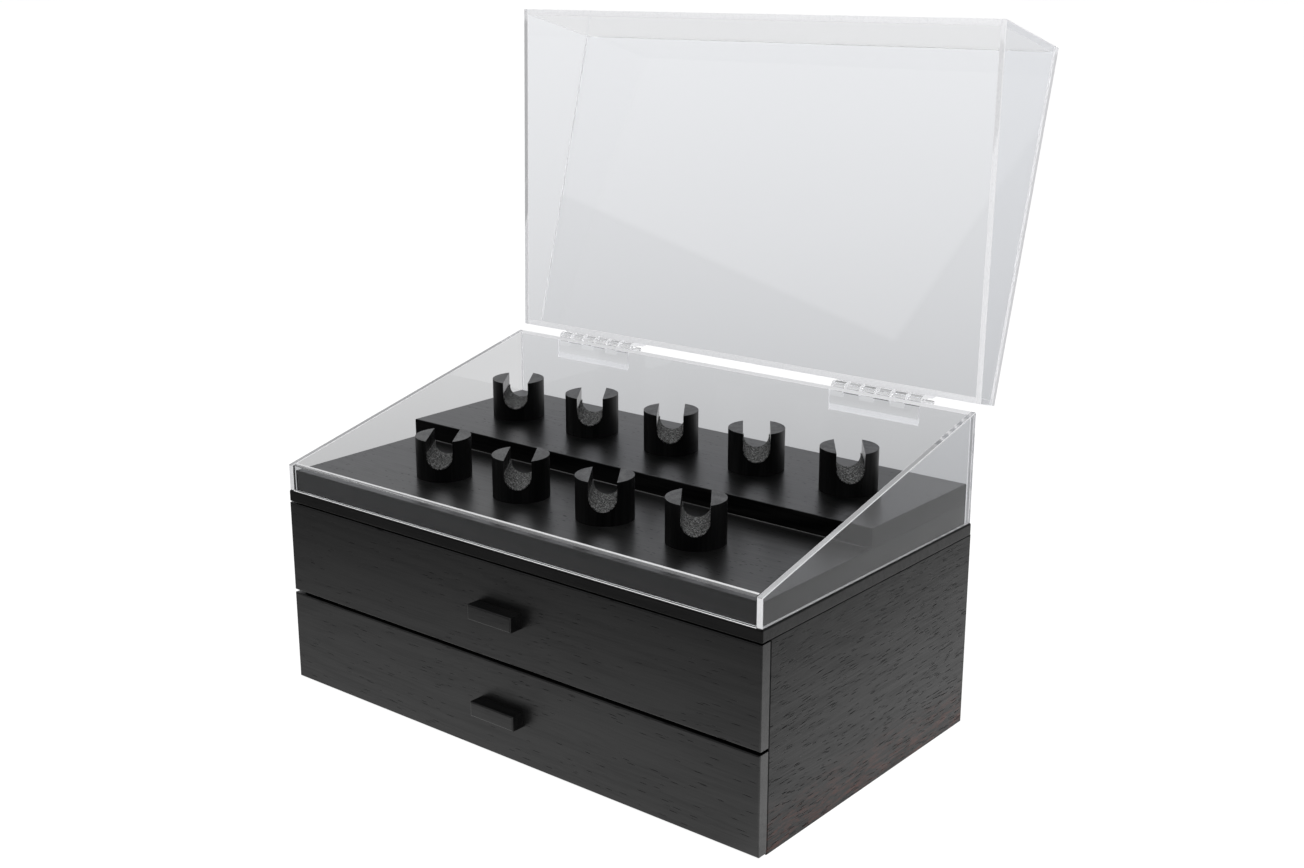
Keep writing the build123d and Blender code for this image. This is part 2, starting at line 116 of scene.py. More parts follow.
class NodeBoard:
    """A node tree, with short ways to add nodes and join them."""

    def __init__(self, tree: bpy.types.NodeTree, output: str) -> None:
        """Clears the tree and adds its output node.

        Args:
            tree: The tree of a new material or world.
            output: The output's node type without its ShaderNode prefix.
        """
        self.tree = tree
        self.tree.nodes.clear()
        self.output = self.tree.nodes.new(f"ShaderNode{output}")

    def add(self, kind: str, inputs: dict[int | str, object], **settings: object) -> bpy.types.Node:
        """Adds a node.

        Args:
            kind: The node type without its ShaderNode prefix.
            inputs: Input names or numbers, each with a value or the socket that feeds it.
            **settings: The node's own properties.

        Returns:
            The new node.
        """
        node = self.tree.nodes.new(f"ShaderNode{kind}")
        for key, value in settings.items():
            setattr(node, key, value)
        for key, value in inputs.items():
            if isinstance(value, Socket):
                self.tree.links.new(value, node.inputs[key])
            else:
                node.inputs[key].default_value = value
        return node

    def here(self) -> Socket:
        """Returns the socket of the object's own coordinates."""
        return self.add("TexCoord", {}).outputs["Object"]

    def parts(self, vector: Socket) -> bpy.types.NodeOutputs:
        """Splits a vector and returns its sockets X, Y and Z."""
        return self.add("SeparateXYZ", {0: vector}).outputs

    def place(self, vector: Socket, scale: Triple, turn: Triple = STILL, shift: Triple = STILL) -> Socket:
        """Scales, turns and shifts a vector, and returns the socket of the result."""
        inputs = {"Vector": vector, "Location": shift, "Rotation": turn, "Scale": scale}
        return self.add("Mapping", inputs).outputs["Vector"]

    def noise(self, vector: Socket, detail: float = 3.0, rough: float = 0.6) -> Socket:
        """Adds a noise of scale 1 on a vector and returns its value socket."""
        inputs = {"Vector": vector, "Scale": 1.0, "Detail": detail, "Roughness": rough}
        return self.add("TexNoise", inputs).outputs[0]

    def spread(
        self, value: Socket, low: float, high: float, to_low: float = 0.0, to_high: float = 1.0
    ) -> Socket:
        """Maps low..high smoothly to to_low..to_high and returns the socket of the result."""
        inputs = {"Value": value, 1: low, 2: high, 3: to_low, 4: to_high}
        return self.add("MapRange", inputs, interpolation_type="SMOOTHSTEP").outputs[0]

    def slope(self, value: Socket, ramp: Ramp) -> Socket:
        """Maps a value along a ramp in a straight line and returns the socket of the result."""
        inputs = {"Value": value, 1: ramp.low, 2: ramp.high, 3: ramp.at_low, 4: ramp.at_high}
        return self.add("MapRange", inputs).outputs[0]

    def math(self, operation: str, first: object, second: object) -> Socket:
        """Does one sum on two values and returns the socket of the result."""
        return self.add("Math", {0: first, 1: second}, operation=operation).outputs[0]

    def times(self, first: object, second: object) -> Socket:
        """Multiplies two values and returns the socket of the product."""
        return self.math("MULTIPLY", first, second)

    def tint(self, factor: Socket, dark: Colour | Socket, light: Colour | Socket) -> Socket:
        """Mixes two colours.

        Args:
            factor: The light colour's share.
            dark: The dark colour, or the socket that gives it.
            light: The light colour, or the socket that gives it.

        Returns:
            The socket of the mixed colour.
        """
        pair = [opaque(colour) if isinstance(colour, tuple) else colour for colour in (dark, light)]
        inputs = {0: factor, 6: pair[0], 7: pair[1]}
        return self.add("Mix", inputs, data_type="RGBA").outputs[2]

    def bump(self, height: Socket, depth: float) -> Socket:
        """Turns a height of 0 to 1 into a bumped normal, with the depth that 1 stands for."""
        return self.add("Bump", {"Height": height, "Distance": depth, "Strength": 1.0}).outputs["Normal"]

    def principled(self, inputs: dict[str, object]) -> Socket:
        """Adds a principled shader and returns its socket."""
        return self.add("BsdfPrincipled", inputs).outputs[0]

    def blend(self, share: float | Socket, first: Socket, second: Socket) -> Socket:
        """Mixes two shaders by the second one's share and returns the socket of the result."""
        return self.add("MixShader", {0: share, 1: first, 2: second}).outputs[0]

    def join(self, shader: Socket) -> None:
        """Joins the shader to the output."""
        self.tree.links.new(shader, self.output.inputs["Surface"])


class MaterialBoard(NodeBoard):
    """The node tree of a new material."""

    def __init__(self, name: str) -> None:
        """Makes the material.

        Args:
            name: The material's name.
        """
        self.material = bpy.data.materials.new(name)
        self.material.use_nodes = True
        super().__init__(self.material.node_tree, "OutputMaterial")

    def finish(self, shader: Socket) -> bpy.types.Material:
        """Joins the shader to the output and returns the material."""
        self.join(shader)
        return self.material


@dataclass(frozen=True)
class StainedWood:
    """Open-grained wood under a black stain and a thin lacquer.

    Attributes:
        dark: Colour of the stain in the grain's hollows.
        light: Colour of the raised fibres, where the stain is thinner.
        roughness: Roughness of the lacquer over the fibres.
        gloss: The shader's specular level.
        pores: Share of the surface that has open pores, from 0 to 1.
        pore_length: Usual length of a pore in metres.
        pore_width: Usual width of a pore in metres.
        spacing: Distance between pores, in pore lengths and widths.
        stain: How dark a pore is against the board, from 0 to 1.
        relief: Depth of the pores in metres.
        sway: How far the grain wanders across the board, in metres.
        rings: How many year rings the broad pattern has.
        fibre: Strength of the fine fibres in gloss and roughness, from 0 to 1.
        worn: How much the stain is rubbed through near the foot, from 0 to 1.
        upright: Gloss of the board's upright faces, as a share of the gloss of its top; less gloss there
            darkens them as painted shade.
        wander_pitch: Waves per metre of the grain's wander, along and across it. The pitches below are alike.
        fibre_pitch: Of the fine fibres.
        ring_pitch: Of the field that is folded into year rings.
        patch_pitch: Of the patches where the pores lie closer.
        blotch_pitch: Of the places where the stain is rubbed through.
        wear_top: Height above which nothing is rubbed through.
        wear_full: Height below which the wear is full.
        bare: Colour of the rubbed wood.
        pit: Colour in the pores.
        seed_step: How far the pattern moves from one seed to the next.
    """

    dark: Colour = (0.0006, 0.0006, 0.0007)
    light: Colour = (0.0032, 0.0031, 0.0031)
    roughness: float = 0.36
    gloss: float = 0.5
    pores: float = 0.5
    pore_length: float = 16 * MM
    pore_width: float = 0.30 * MM
    spacing: float = 3.6
    stain: float = 0.9
    relief: float = 0.22 * MM
    sway: float = 35 * MM
    rings: float = 26.0
    fibre: float = 1.0
    worn: float = 0.0
    upright: float = 1.0
    wander_pitch: Triple = (2.6, 8.0, 8.0)
    fibre_pitch: Triple = (11.0, 620.0, 620.0)
    ring_pitch: Triple = (0.9, 7.0, 7.0)
    patch_pitch: Triple = (5.0, 60.0, 60.0)
    blotch_pitch: Triple = (50.0, 330.0, 330.0)
    wear_top: float = 48 * MM
    wear_full: float = 4 * MM
    bare: Colour = (0.060, 0.016, 0.009)
    pit: Colour = (0.0006, 0.0006, 0.0006)
    seed_step: Triple = (0.37, 0.53, 0.71)

    def material(self, name: str, grain: Grain, seed: int) -> bpy.types.Material:
        """Makes the finish for one board.

        Args:
            name: The material's name.
            grain: The way the board's grain runs.
            seed: Number of the board, which moves the pattern so that no two are alike.

        Returns:
            The material.
        """
        board = MaterialBoard(name)
        here = board.here()
        shift = tuple(seed * step for step in self.seed_step)
        laid = board.place(here, EVEN, grain.value, shift)
        figure = self.wandering(board, laid)
        fibres = board.noise(board.place(figure, self.fibre_pitch), 4.0, 0.7)
        rings = self.year_rings(board, laid, figure)
        pore = self.open_pores(board, figure, rings)

        tone = board.times(fibres, board.spread(rings, 0.3, 0.75, 1.15, 0.70))
        colour = board.tint(board.spread(tone, 0.28, 0.72), self.dark, self.light)
        if self.worn:
            near = board.spread(board.parts(here)["Z"], self.wear_full, self.wear_top, self.worn, 0.0)
            blotch = board.noise(board.place(figure, self.blotch_pitch), 5.0, 0.8)
            colour = board.tint(board.times(near, board.spread(blotch, 0.46, 0.62)), colour, self.bare)
        dull = board.times(pore, self.stain)
        colour = board.tint(dull, colour, self.pit)
        swing = 0.06 * self.fibre
        fibrous = board.spread(fibres, 0.3, 0.7, self.roughness + swing, self.roughness - swing / 2)
        rough = board.math("ADD", fibrous, board.times(pore, 0.3 * self.stain))
        dull = board.math("ADD", dull, board.spread(tone, 0.2, 0.6, 0.30 * self.fibre, 0.0))
        shine = board.spread(dull, 0.0, 1.0, self.gloss, self.gloss * 0.2)
        # Painted shade: upright faces get less gloss than the top, so that they read darker.
        if self.upright != 1.0:
            facing = board.parts(board.add("NewGeometry", {}).outputs["Normal"])["Z"]
            shine = board.times(shine, board.spread(facing, 0.3, 0.8, self.upright, 1.0))
        inputs = {"Base Color": colour, "Roughness": rough, "Specular IOR Level": shine}
        if self.relief:
            height = board.math("SUBTRACT", board.times(fibres, 0.30), pore)
            inputs["Normal"] = board.bump(height, self.relief)
        return board.finish(board.principled(inputs))

    def wandering(self, board: NodeBoard, laid: Socket) -> Socket:
        """Bends straight grain from side to side.

        Args:
            board: The material's nodes.
            laid: The coordinates, with the grain along X.

        Returns:
            The socket of the bent coordinates.
        """
        wander = board.noise(board.place(laid, self.wander_pitch), 2.0, 0.5)
        shift = board.times(wander, self.sway)
        sway = board.add("CombineXYZ", {"X": 0.0, "Y": shift, "Z": shift}).outputs[0]
        return board.add("VectorMath", {0: laid, 1: sway}, operation="ADD").outputs[0]

    def year_rings(self, board: NodeBoard, laid: Socket, figure: Socket) -> Socket:
        """Makes the broad pattern of year rings and patches, in which the pores lie.

        Args:
            board: The material's nodes.
            laid: The coordinates, with the grain along X.
            figure: The coordinates, bent as the grain wanders.

        Returns:
            The socket of the pattern.
        """
        field_of_rings = board.noise(board.place(laid, self.ring_pitch), 1.5, 0.45)
        folded = board.math("PINGPONG", board.times(field_of_rings, self.rings), 0.5)
        patches = board.noise(board.place(figure, self.patch_pitch), 3.0, 0.6)
        return board.math("ADD", board.times(folded, 0.7), board.times(patches, 0.75))

    def open_pores(self, board: NodeBoard, figure: Socket, rings: Socket) -> Socket:
        """Makes the long pores: cells along the grain, open where the rings are soft.

        Args:
            board: The material's nodes.
            figure: The coordinates, bent as the grain wanders.
            rings: The pattern of the year rings.

        Returns:
            The socket that is 1 in a pore and 0 outside.
        """
        across = 1.0 / (self.pore_width * self.spacing)
        cell = (1.0 / (self.pore_length * self.spacing), across, across)
        spots = {"Vector": board.place(figure, cell), "Scale": 1.0, "Randomness": 1.0}
        dashes = board.add("TexVoronoi", spots).outputs["Distance"]
        half = 0.5 / self.spacing
        closed = 0.68 - 0.40 * self.pores
        reach = board.spread(rings, closed, closed + 0.14, 0.0, 1.25 * half)
        return board.spread(board.math("SUBTRACT", reach, dashes), 0.0, 0.45 * half)


@dataclass(frozen=True)
class PlainWood:
    """Bare pale wood, such as a dowel's.

    Attributes:
        dark: Colour of the streaks.
        light: Colour between the streaks.
        pitch: Streaks per metre along and across the grain.
        relief: Depth of the streaks.
    """

    dark: Colour = (0.36, 0.22, 0.11)
    light: Colour = (0.55, 0.38, 0.21)
    pitch: Triple = (30.0, 900.0, 900.0)
    relief: float = 0.05 * MM

    def material(self, name: str, grain: Grain) -> bpy.types.Material:
        """Makes the finish with its grain along one axis.

        Args:
            name: The material's name.
            grain: The way the grain runs.

        Returns:
            The material.
        """
        board = MaterialBoard(name)
        here = board.place(board.here(), EVEN, grain.value)
        streaks = board.noise(board.place(here, self.pitch))
        inputs = {
            "Base Color": board.tint(streaks, self.dark, self.light),
            "Roughness": board.spread(streaks, 0.2, 0.8, 0.5, 0.7),
            "Normal": board.bump(streaks, self.relief),
        }
        return board.finish(board.principled(inputs))


@dataclass(frozen=True)
class Felt:
    """Dark grey felt with paler fibres matted into it.

    Attributes:
        dark: Colour between the tufts.
        light: Colour of the tufts.
        tuft: Breadth of a tuft in metres.
        fluff: Fine fibres to the breadth of a tuft.
        nap: Depth between the tufts.
    """

    dark: Colour = (0.0015, 0.0015, 0.0015)
    light: Colour = (0.170, 0.172, 0.170)
    tuft: float = 1.5 * MM
    fluff: float = 5.0
    nap: float = 0.9 * MM

    def material(self, name: str) -> bpy.types.Material:
        """Makes the finish.

        Args:
            name: The material's name.

        Returns:
            The material.
        """
        board = MaterialBoard(name)
        here = board.here()
        pitch = 1.0 / self.tuft
        tufts = board.noise(board.place(here, (pitch,) * 3), 2.0, 0.7)
        fluff = board.noise(board.place(here, (pitch * self.fluff,) * 3), 3.0, 0.7)
        mixed = board.math("ADD", board.times(tufts, 0.7), board.times(fluff, 0.3))
        inputs = {
            "Base Color": board.tint(board.spread(mixed, 0.48, 0.60), self.dark, self.light),
            "Roughness": board.spread(fluff, 0.0, 1.0, 0.85, 1.0),
            "Sheen Weight": 0.06,
            "Sheen Roughness": 0.6,
            "Specular IOR Level": 0.15,
            "Normal": board.bump(mixed, self.nap),
        }
        return board.finish(board.principled(inputs))


@dataclass(frozen=True)
class ClearAcrylic:
    """Clear polished acrylic, which lets lamps shine through it.

    Attributes:
        tint: What a sheet lets through, by colour.
        shade: What one face of a sheet lets through of light that isn't looked along.
        haze: Roughness of the polish, at most.
        ior: Index of refraction.
        frost: Share of white in it, from 0 for a polished face to 1 for a sawn edge.
        glow: Painted glow of a white edge: light that it emits though it is no lamp, in place of the light
            that the sheet leads to the edge from its broad faces.
        saw_pitch: Distance between the marks of the saw on an edge.
        chatter: Depth of the slanted marks of the saw, from 0 to 1.
        bright_from: How far back the white of an edge begins; its outer part is left mostly clear, a painted
            shade that makes it read grey.
        wipe_pitch: Cloth marks per metre in the polish.
        saw_turn: Turn of the saw's marks about Z.
        chatter_pitch: Slanted marks per metre, before their own scale.
        chatter_slant: Slant of those marks.
        chatter_front: Place where they begin, from the front.
        chatter_rear: Place from which they are full.
        edge_dark: Colour of a sawn edge in its marks.
        edge_light: Colour of a sawn edge between its marks.
        passing: Share of light that goes through a white edge.
        saw_depth: Depth of the saw's marks.
        border: Half of the breadth over which the clear part of an edge turns white.
    """

    tint: Colour = (0.955, 0.962, 0.975)
    shade: Colour = (0.950, 0.952, 0.960)
    haze: float = 0.004
    ior: float = 1.491
    frost: float = 0.0
    glow: float = 0.10
    saw_pitch: float = 1.6 * MM
    chatter: float = 0.0
    bright_from: float | None = None
    wipe_pitch: Triple = (14.0, 14.0, 60.0)
    saw_turn: float = math.radians(30)
    chatter_pitch: float = 170.0
    chatter_slant: float = math.radians(-22)
    chatter_front: float = 78 * MM
    chatter_rear: float = 90 * MM
    edge_dark: Colour = (0.42, 0.43, 0.45)
    edge_light: Colour = (0.80, 0.80, 0.81)
    passing: float = 0.45
    saw_depth: float = 0.05 * MM
    border: float = 0.3 * MM

    def material(self, name: str) -> bpy.types.Material:
        """Makes the finish.

        Args:
            name: The material's name.

        Returns:
            The material.
        """
        board = MaterialBoard(name)
        here = board.here()
        wiped = board.noise(board.place(here, self.wipe_pitch), 4.0, 0.7)
        inputs = {
            "Base Color": opaque(self.tint),
            "Roughness": board.spread(wiped, 0.45, 0.8, 0.0, self.haze),
            "IOR": self.ior,
            "Transmission Weight": 1.0,
        }
        glass = board.principled(inputs)
        if self.frost:
            glass = self.frosted(board, here, glass)
        clear = board.add("BsdfTransparent", {"Color": opaque(self.shade)}).outputs[0]
        return board.finish(board.blend(self.unlooked(board), glass, clear))

    def unlooked(self, board: NodeBoard) -> Socket:
        """Tells the rays that nobody looks along, which pass straight through a sheet.

        These are shadow rays, diffuse bounces, and reflected rays that reach a sheet from outside.

        Args:
            board: The material's nodes.

        Returns:
            The socket that is 1 for such a ray.
        """
        path = board.add("LightPath", {}).outputs
        reflected = board.math("SUBTRACT", path["Is Glossy Ray"], path["Is Transmission Ray"])
        first = board.math("LESS_THAN", path["Transparent Depth"], 0.5)
        within = board.times(first, board.add("NewGeometry", {}).outputs["Backfacing"])
        outside = board.times(reflected, board.math("SUBTRACT", 1.0, within))
        bounced = board.math("MAXIMUM", path["Is Diffuse Ray"], outside)
        return board.math("MAXIMUM", path["Is Shadow Ray"], bounced)

    def frosted(self, board: NodeBoard, here: Socket, glass: Socket) -> Socket:
        """Mixes the white of a sawn edge, with the saw's marks and a painted glow, into the glass.

        Args:
            board: The material's nodes.
            here: The socket of the object's coordinates.
            glass: The socket of the clear shader.

        Returns:
            The socket of the mixed shader.
        """
        turned = board.place(here, (1.0 / self.saw_pitch,) * 3, (0.0, 0.0, self.saw_turn))
        marks = board.spread(board.noise(turned, 3.0, 0.7), 0.2, 0.6, 0.7, 1.0)
        shade = board.math("SUBTRACT", marks, self.slanted_marks(board, here)) if self.chatter else marks
        white = board.tint(shade, self.edge_dark, self.edge_light)
        satin = {
            "Base Color": white,
            "Roughness": board.spread(marks, 0.3, 0.7, 0.25, 0.5),
            "Normal": board.bump(marks, self.saw_depth),
            # Painted glow: the white edge emits light of its own, standing in for light led through the
            # sheet.
            "Emission Color": opaque(WHITE),
            "Emission Strength": self.glow,
        }
        through = board.add("BsdfTranslucent", {"Color": white}).outputs[0]
        body = board.blend(self.passing, board.principled(satin), through)
        share = board.spread(marks, 0.1, 0.6, 0.15 * self.frost, self.frost)
        # Painted shade: the outer part of the edge gets little white, so that it reads grey.
        if self.bright_from is not None:
            depth = board.parts(here)["Y"]
            outer, inner = self.bright_from - self.border, self.bright_from + self.border
            share = board.times(share, board.spread(depth, outer, inner, 0.18, 1.0))
        return board.blend(share, glass, body)

    def slanted_marks(self, board: NodeBoard, here: Socket) -> Socket:
        """Makes the slanted marks that the saw left on the rear of an edge.

        Args:
            board: The material's nodes.
            here: The socket of the object's coordinates.

        Returns:
            The socket of the marks' depth.
        """
        slant = board.place(here, (self.chatter_pitch,) * 3, (self.chatter_slant, 0.0, 0.0))
        waves = {"Vector": slant, "Scale": 0.16, "Distortion": 1.2}
        bands = board.add("TexWave", waves, bands_direction="Y").outputs["Fac"]
        rear = board.spread(board.parts(here)["Y"], self.chatter_front, self.chatter_rear, 0.0, self.chatter)
        return board.times(board.spread(bands, 0.35, 0.6), rear)


@dataclass(frozen=True)
class ZincSteel:
    """Zinc-plated steel of small screws.

    Attributes:
        colour: Colour of the clean metal.
        grimy: Colour of the dull spots, as a share of the clean metal's.
        pitch: Spots per metre.
        relief: Depth of the spots.
    """

    colour: Colour = (0.46, 0.46, 0.45)
    grimy: float = 0.7
    pitch: float = 700.0
    relief: float = 0.02 * MM

    def material(self, name: str) -> bpy.types.Material:
        """Makes the finish.

        Args:
            name: The material's name.

        Returns:
            The material.
        """
        board = MaterialBoard(name)
        grime = board.noise(board.place(board.here(), (self.pitch,) * 3), 4.0, 0.65)
        inputs = {
            "Base Color": board.tint(grime, tuple(self.grimy * part for part in self.colour), self.colour),
            "Metallic": 1.0,
            "Roughness": board.spread(grime, 0.3, 0.7, 0.26, 0.42),
            "Normal": board.bump(grime, self.relief),
        }
        return board.finish(board.principled(inputs))


def deselect() -> None:
    """Leaves nothing selected, so that an operator acts on new pieces alone."""
    bpy.ops.object.select_all(action="DESELECT")


def pick(piece: bpy.types.Object) -> None:
    """Selects a piece alone and makes it active.

    Args:
        piece: The piece.
    """
    deselect()
    piece.select_set(True)
    bpy.context.view_layer.objects.active = piece


@contextmanager
def editing(piece: bpy.types.Object) -> Iterator[None]:
    """Opens a piece in edit mode with all of it selected, and closes it afterwards.

    Args:
        piece: The piece.

    Yields:
        Nothing, while the piece is open.
    """
    pick(piece)
    bpy.ops.object.mode_set(mode="EDIT")
    bpy.ops.mesh.select_all(action="SELECT")
    yield
    bpy.ops.object.mode_set(mode="OBJECT")


def settle(piece: bpy.types.Object) -> None:
    """Moves a piece's place, turn and scale into its mesh."""
    pick(piece)
    bpy.ops.object.transform_apply(location=True, rotation=True, scale=True)


def apply_all(piece: bpy.types.Object) -> None:
    """Applies every modifier of a piece, in order.

    Args:
        piece: The piece.
    """
    pick(piece)
    for modifier in list(piece.modifiers):
        bpy.ops.object.modifier_apply(modifier=modifier.name)


def cylinder(
    radius: float, depth: float, place: Triple, turn: Triple = STILL, sides: int = 160
) -> bpy.types.Object:
    """Adds a cylinder, with its place in its mesh.

    Args:
        radius: Its radius.
        depth: Its length.
        place: Its middle.
        turn: Its turn from upright.
        sides: Faces round it.

    Returns:
        The cylinder.
    """
    deselect()
    bpy.ops.mesh.primitive_cylinder_add(
        vertices=sides, radius=radius, depth=depth, location=place, rotation=turn
    )
    piece = bpy.context.active_object
    settle(piece)
    return piece


def cut(piece: bpy.types.Object, tool: bpy.types.Object, keep: Keep = Keep.OUTSIDE) -> None:
    """Cuts a piece with a tool, and removes the tool.

    Args:
        piece: The piece that keeps its name.
        tool: The closed shape that cuts it.
        keep: The part of the piece that is left.
    """
    modifier = piece.modifiers.new("cut", "BOOLEAN")
    modifier.object = tool
    modifier.operation = keep.value
    modifier.solver = "EXACT"
    apply_all(piece)
    bpy.data.objects.remove(tool)


def round_edges(piece: bpy.types.Object, width: float, segments: int, angle: float = 35.0) -> None:
    """Bevels a piece's sharp edges, and shades it smoothly with its broad faces kept flat.

    Args:
        piece: The piece.
        width: The bevel's width in metres.
        segments: Faces across the bevel.
        angle: Edges sharper than this, in degrees, are bevelled.
    """
    modifier = piece.modifiers.new("edges", "BEVEL")
    modifier.width = width
    modifier.segments = segments
    modifier.limit_method = "ANGLE"
    modifier.angle_limit = math.radians(angle)
    modifier.use_clamp_overlap = True
    apply_all(piece)
    bpy.ops.object.shade_smooth_by_angle(angle=math.radians(angle))
    # Broad faces keep their own normals, so that only the bevels look round.
    weighting = piece.modifiers.new("weights", "WEIGHTED_NORMAL")
    weighting.mode = "FACE_AREA"
    weighting.weight = 100
    weighting.keep_sharp = True
    apply_all(piece)


def dress(piece: bpy.types.Object, *materials: bpy.types.Material) -> None:
    """Gives a piece its materials, in place of those it had.

    Args:
        piece: The piece.
        *materials: The materials, in the order of their numbers.
    """
    piece.data.materials.clear()
    for material in materials:
        piece.data.materials.append(material)


def seat(piece: bpy.types.Object, body: str, slot: str, *nodes: str) -> None:
    """Says what a new piece moves with, and hides the CAD nodes that it stands for.

    Args:
        piece: The finished piece.
        body: The body that it rides on.
        slot: The record's material slot; not used.
        *nodes: The nodes that it replaces.
    """
    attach(piece, body)
    if nodes:
        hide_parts(*nodes)
    LOG.info("%s rides on %s: %d faces", piece.name, body, len(piece.data.polygons))


def merged_copy(node: bpy.types.Object, name: str, gap: float) -> bpy.types.Object:
    """Copies a CAD node as one closed skin, a little smaller than the node.

    Args:
        node: The CAD node.
        name: The copy's name.
        gap: How far every face is drawn in.

    Returns:
        The copy.
    """
    piece = bpy.data.objects.new(name, node.data.copy())
    bpy.context.scene.collection.objects.link(piece)
    with editing(piece):
        bpy.ops.mesh.remove_doubles(threshold=HAIR)
        bpy.ops.mesh.normals_make_consistent(inside=False)
        bpy.ops.transform.shrink_fatten(value=-gap, use_even_offset=True)
        bpy.ops.mesh.customdata_custom_splitnormals_clear()
    return piece


@dataclass
class Boards:
    """The boards of the cabinet, the deck and the drawers, which keep their CAD meshes.

    Attributes:
        nodes: The CAD nodes by name.
        front: Finish of the drawer fronts, rails and panels.
        side: Finish of the side panels and runners, with wide pores and a worn foot.
        deck: Finish of the riser, whose upright front has less gloss than its top: painted shade.
        plinth: Finish of the plinth, with colours lifted above the riser's as painted light on the deck.
        pull: Finish of the pulls.
        top: Finish of the top board.
        inner: Finish of the drawer boxes.
        across: Nodes whose grain runs along X.
        pulls: Nodes of the pulls.
        along: Nodes whose grain runs along Y.
    """

    nodes: dict[str, bpy.types.Object]
    front: StainedWood = StainedWood(
        gloss=0.46,
        pores=0.85,
        pore_length=9 * MM,
        pore_width=0.42 * MM,
        stain=0.60,
        relief=0.13 * MM,
        fibre=0.8,
    )
    side: StainedWood = StainedWood(
        gloss=0.17,
        pores=1.0,
        pore_length=9 * MM,
        pore_width=0.50 * MM,
        spacing=2.3,
        relief=0.45 * MM,
        rings=60.0,
        worn=0.7,
    )
    deck: StainedWood = StainedWood(
        roughness=0.31,
        gloss=0.50,
        pores=0.75,
        pore_length=3.5 * MM,
        pore_width=0.6 * MM,
        stain=0.7,
        relief=0.0,
        fibre=0.6,
        # Painted shade: the upright faces keep a tenth of the top's gloss.
        upright=0.10,
    )
    # Painted light: the plinth's colours are lifted above the riser's so that the deck reads brighter.
    plinth: StainedWood = replace(deck, dark=(0.003, 0.003, 0.003), light=(0.009, 0.009, 0.009))
    pull: StainedWood = StainedWood(
        gloss=0.44, pores=0.80, pore_length=12 * MM, pore_width=0.36 * MM, stain=0.35, relief=0.08 * MM
    )
    top: StainedWood = replace(pull, gloss=0.22)
    inner: StainedWood = StainedWood(dark=(0.006, 0.005, 0.005), light=(0.024, 0.021, 0.019), roughness=0.55)
    across: tuple[str, ...] = (
        "bottom_panel",
        "back_panel",
        "middle_rail",
        "top_rail_front",
        "top_rail_back",
        "lower_drawer_front",
        "upper_drawer_front",
    )
    pulls: tuple[str, ...] = ("lower_handle", "upper_handle")
    along: tuple[str, ...] = (
        "side_panel_left",
        "side_panel_right",
        "runner_lower_left",
        "runner_lower_right",
        "runner_upper_left",
        "runner_upper_right",
    )

    def dress(self) -> None:
        """Gives every board its own cut of the finish."""
        seed = 1
        for names, finish, grain in (
            (self.across, self.front, Grain.ALONG_X),
            (self.pulls, self.pull, Grain.ALONG_X),
            (("top_board",), self.top, Grain.ALONG_X),
            (self.along, self.side, Grain.ALONG_Y),
        ):
            for name in names:
                dress(self.nodes[name], finish.material(f"stain_{name}", grain, seed))
                seed += 1
        for name, finish in (("plinth_board", self.plinth), ("riser_board", self.deck)):
            dress(self.nodes[name], finish.material(f"lacquer_{name}", Grain.ALONG_X, seed))
            seed += 1
        for level in ("lower", "upper"):
            for part in ("inner_front", "back", "bottom", "side_left", "side_right"):
                grain = Grain.ALONG_Y if part.startswith("side") else Grain.ALONG_X
                name = f"{level}_drawer_{part}"
                dress(self.nodes[name], self.inner.material(f"stain_{name}", grain, seed))
                seed += 1
        dress(self.nodes["carcass_dowels"], PlainWood().material("bare_dowels", Grain.ALONG_X))
        LOG.info("%d boards dressed", seed - 1)


class PostFace(IntEnum):
    """The finish of a post's face, as the number of its material."""

    SIDE = 0
    SLOT = 1
    TOP = 2


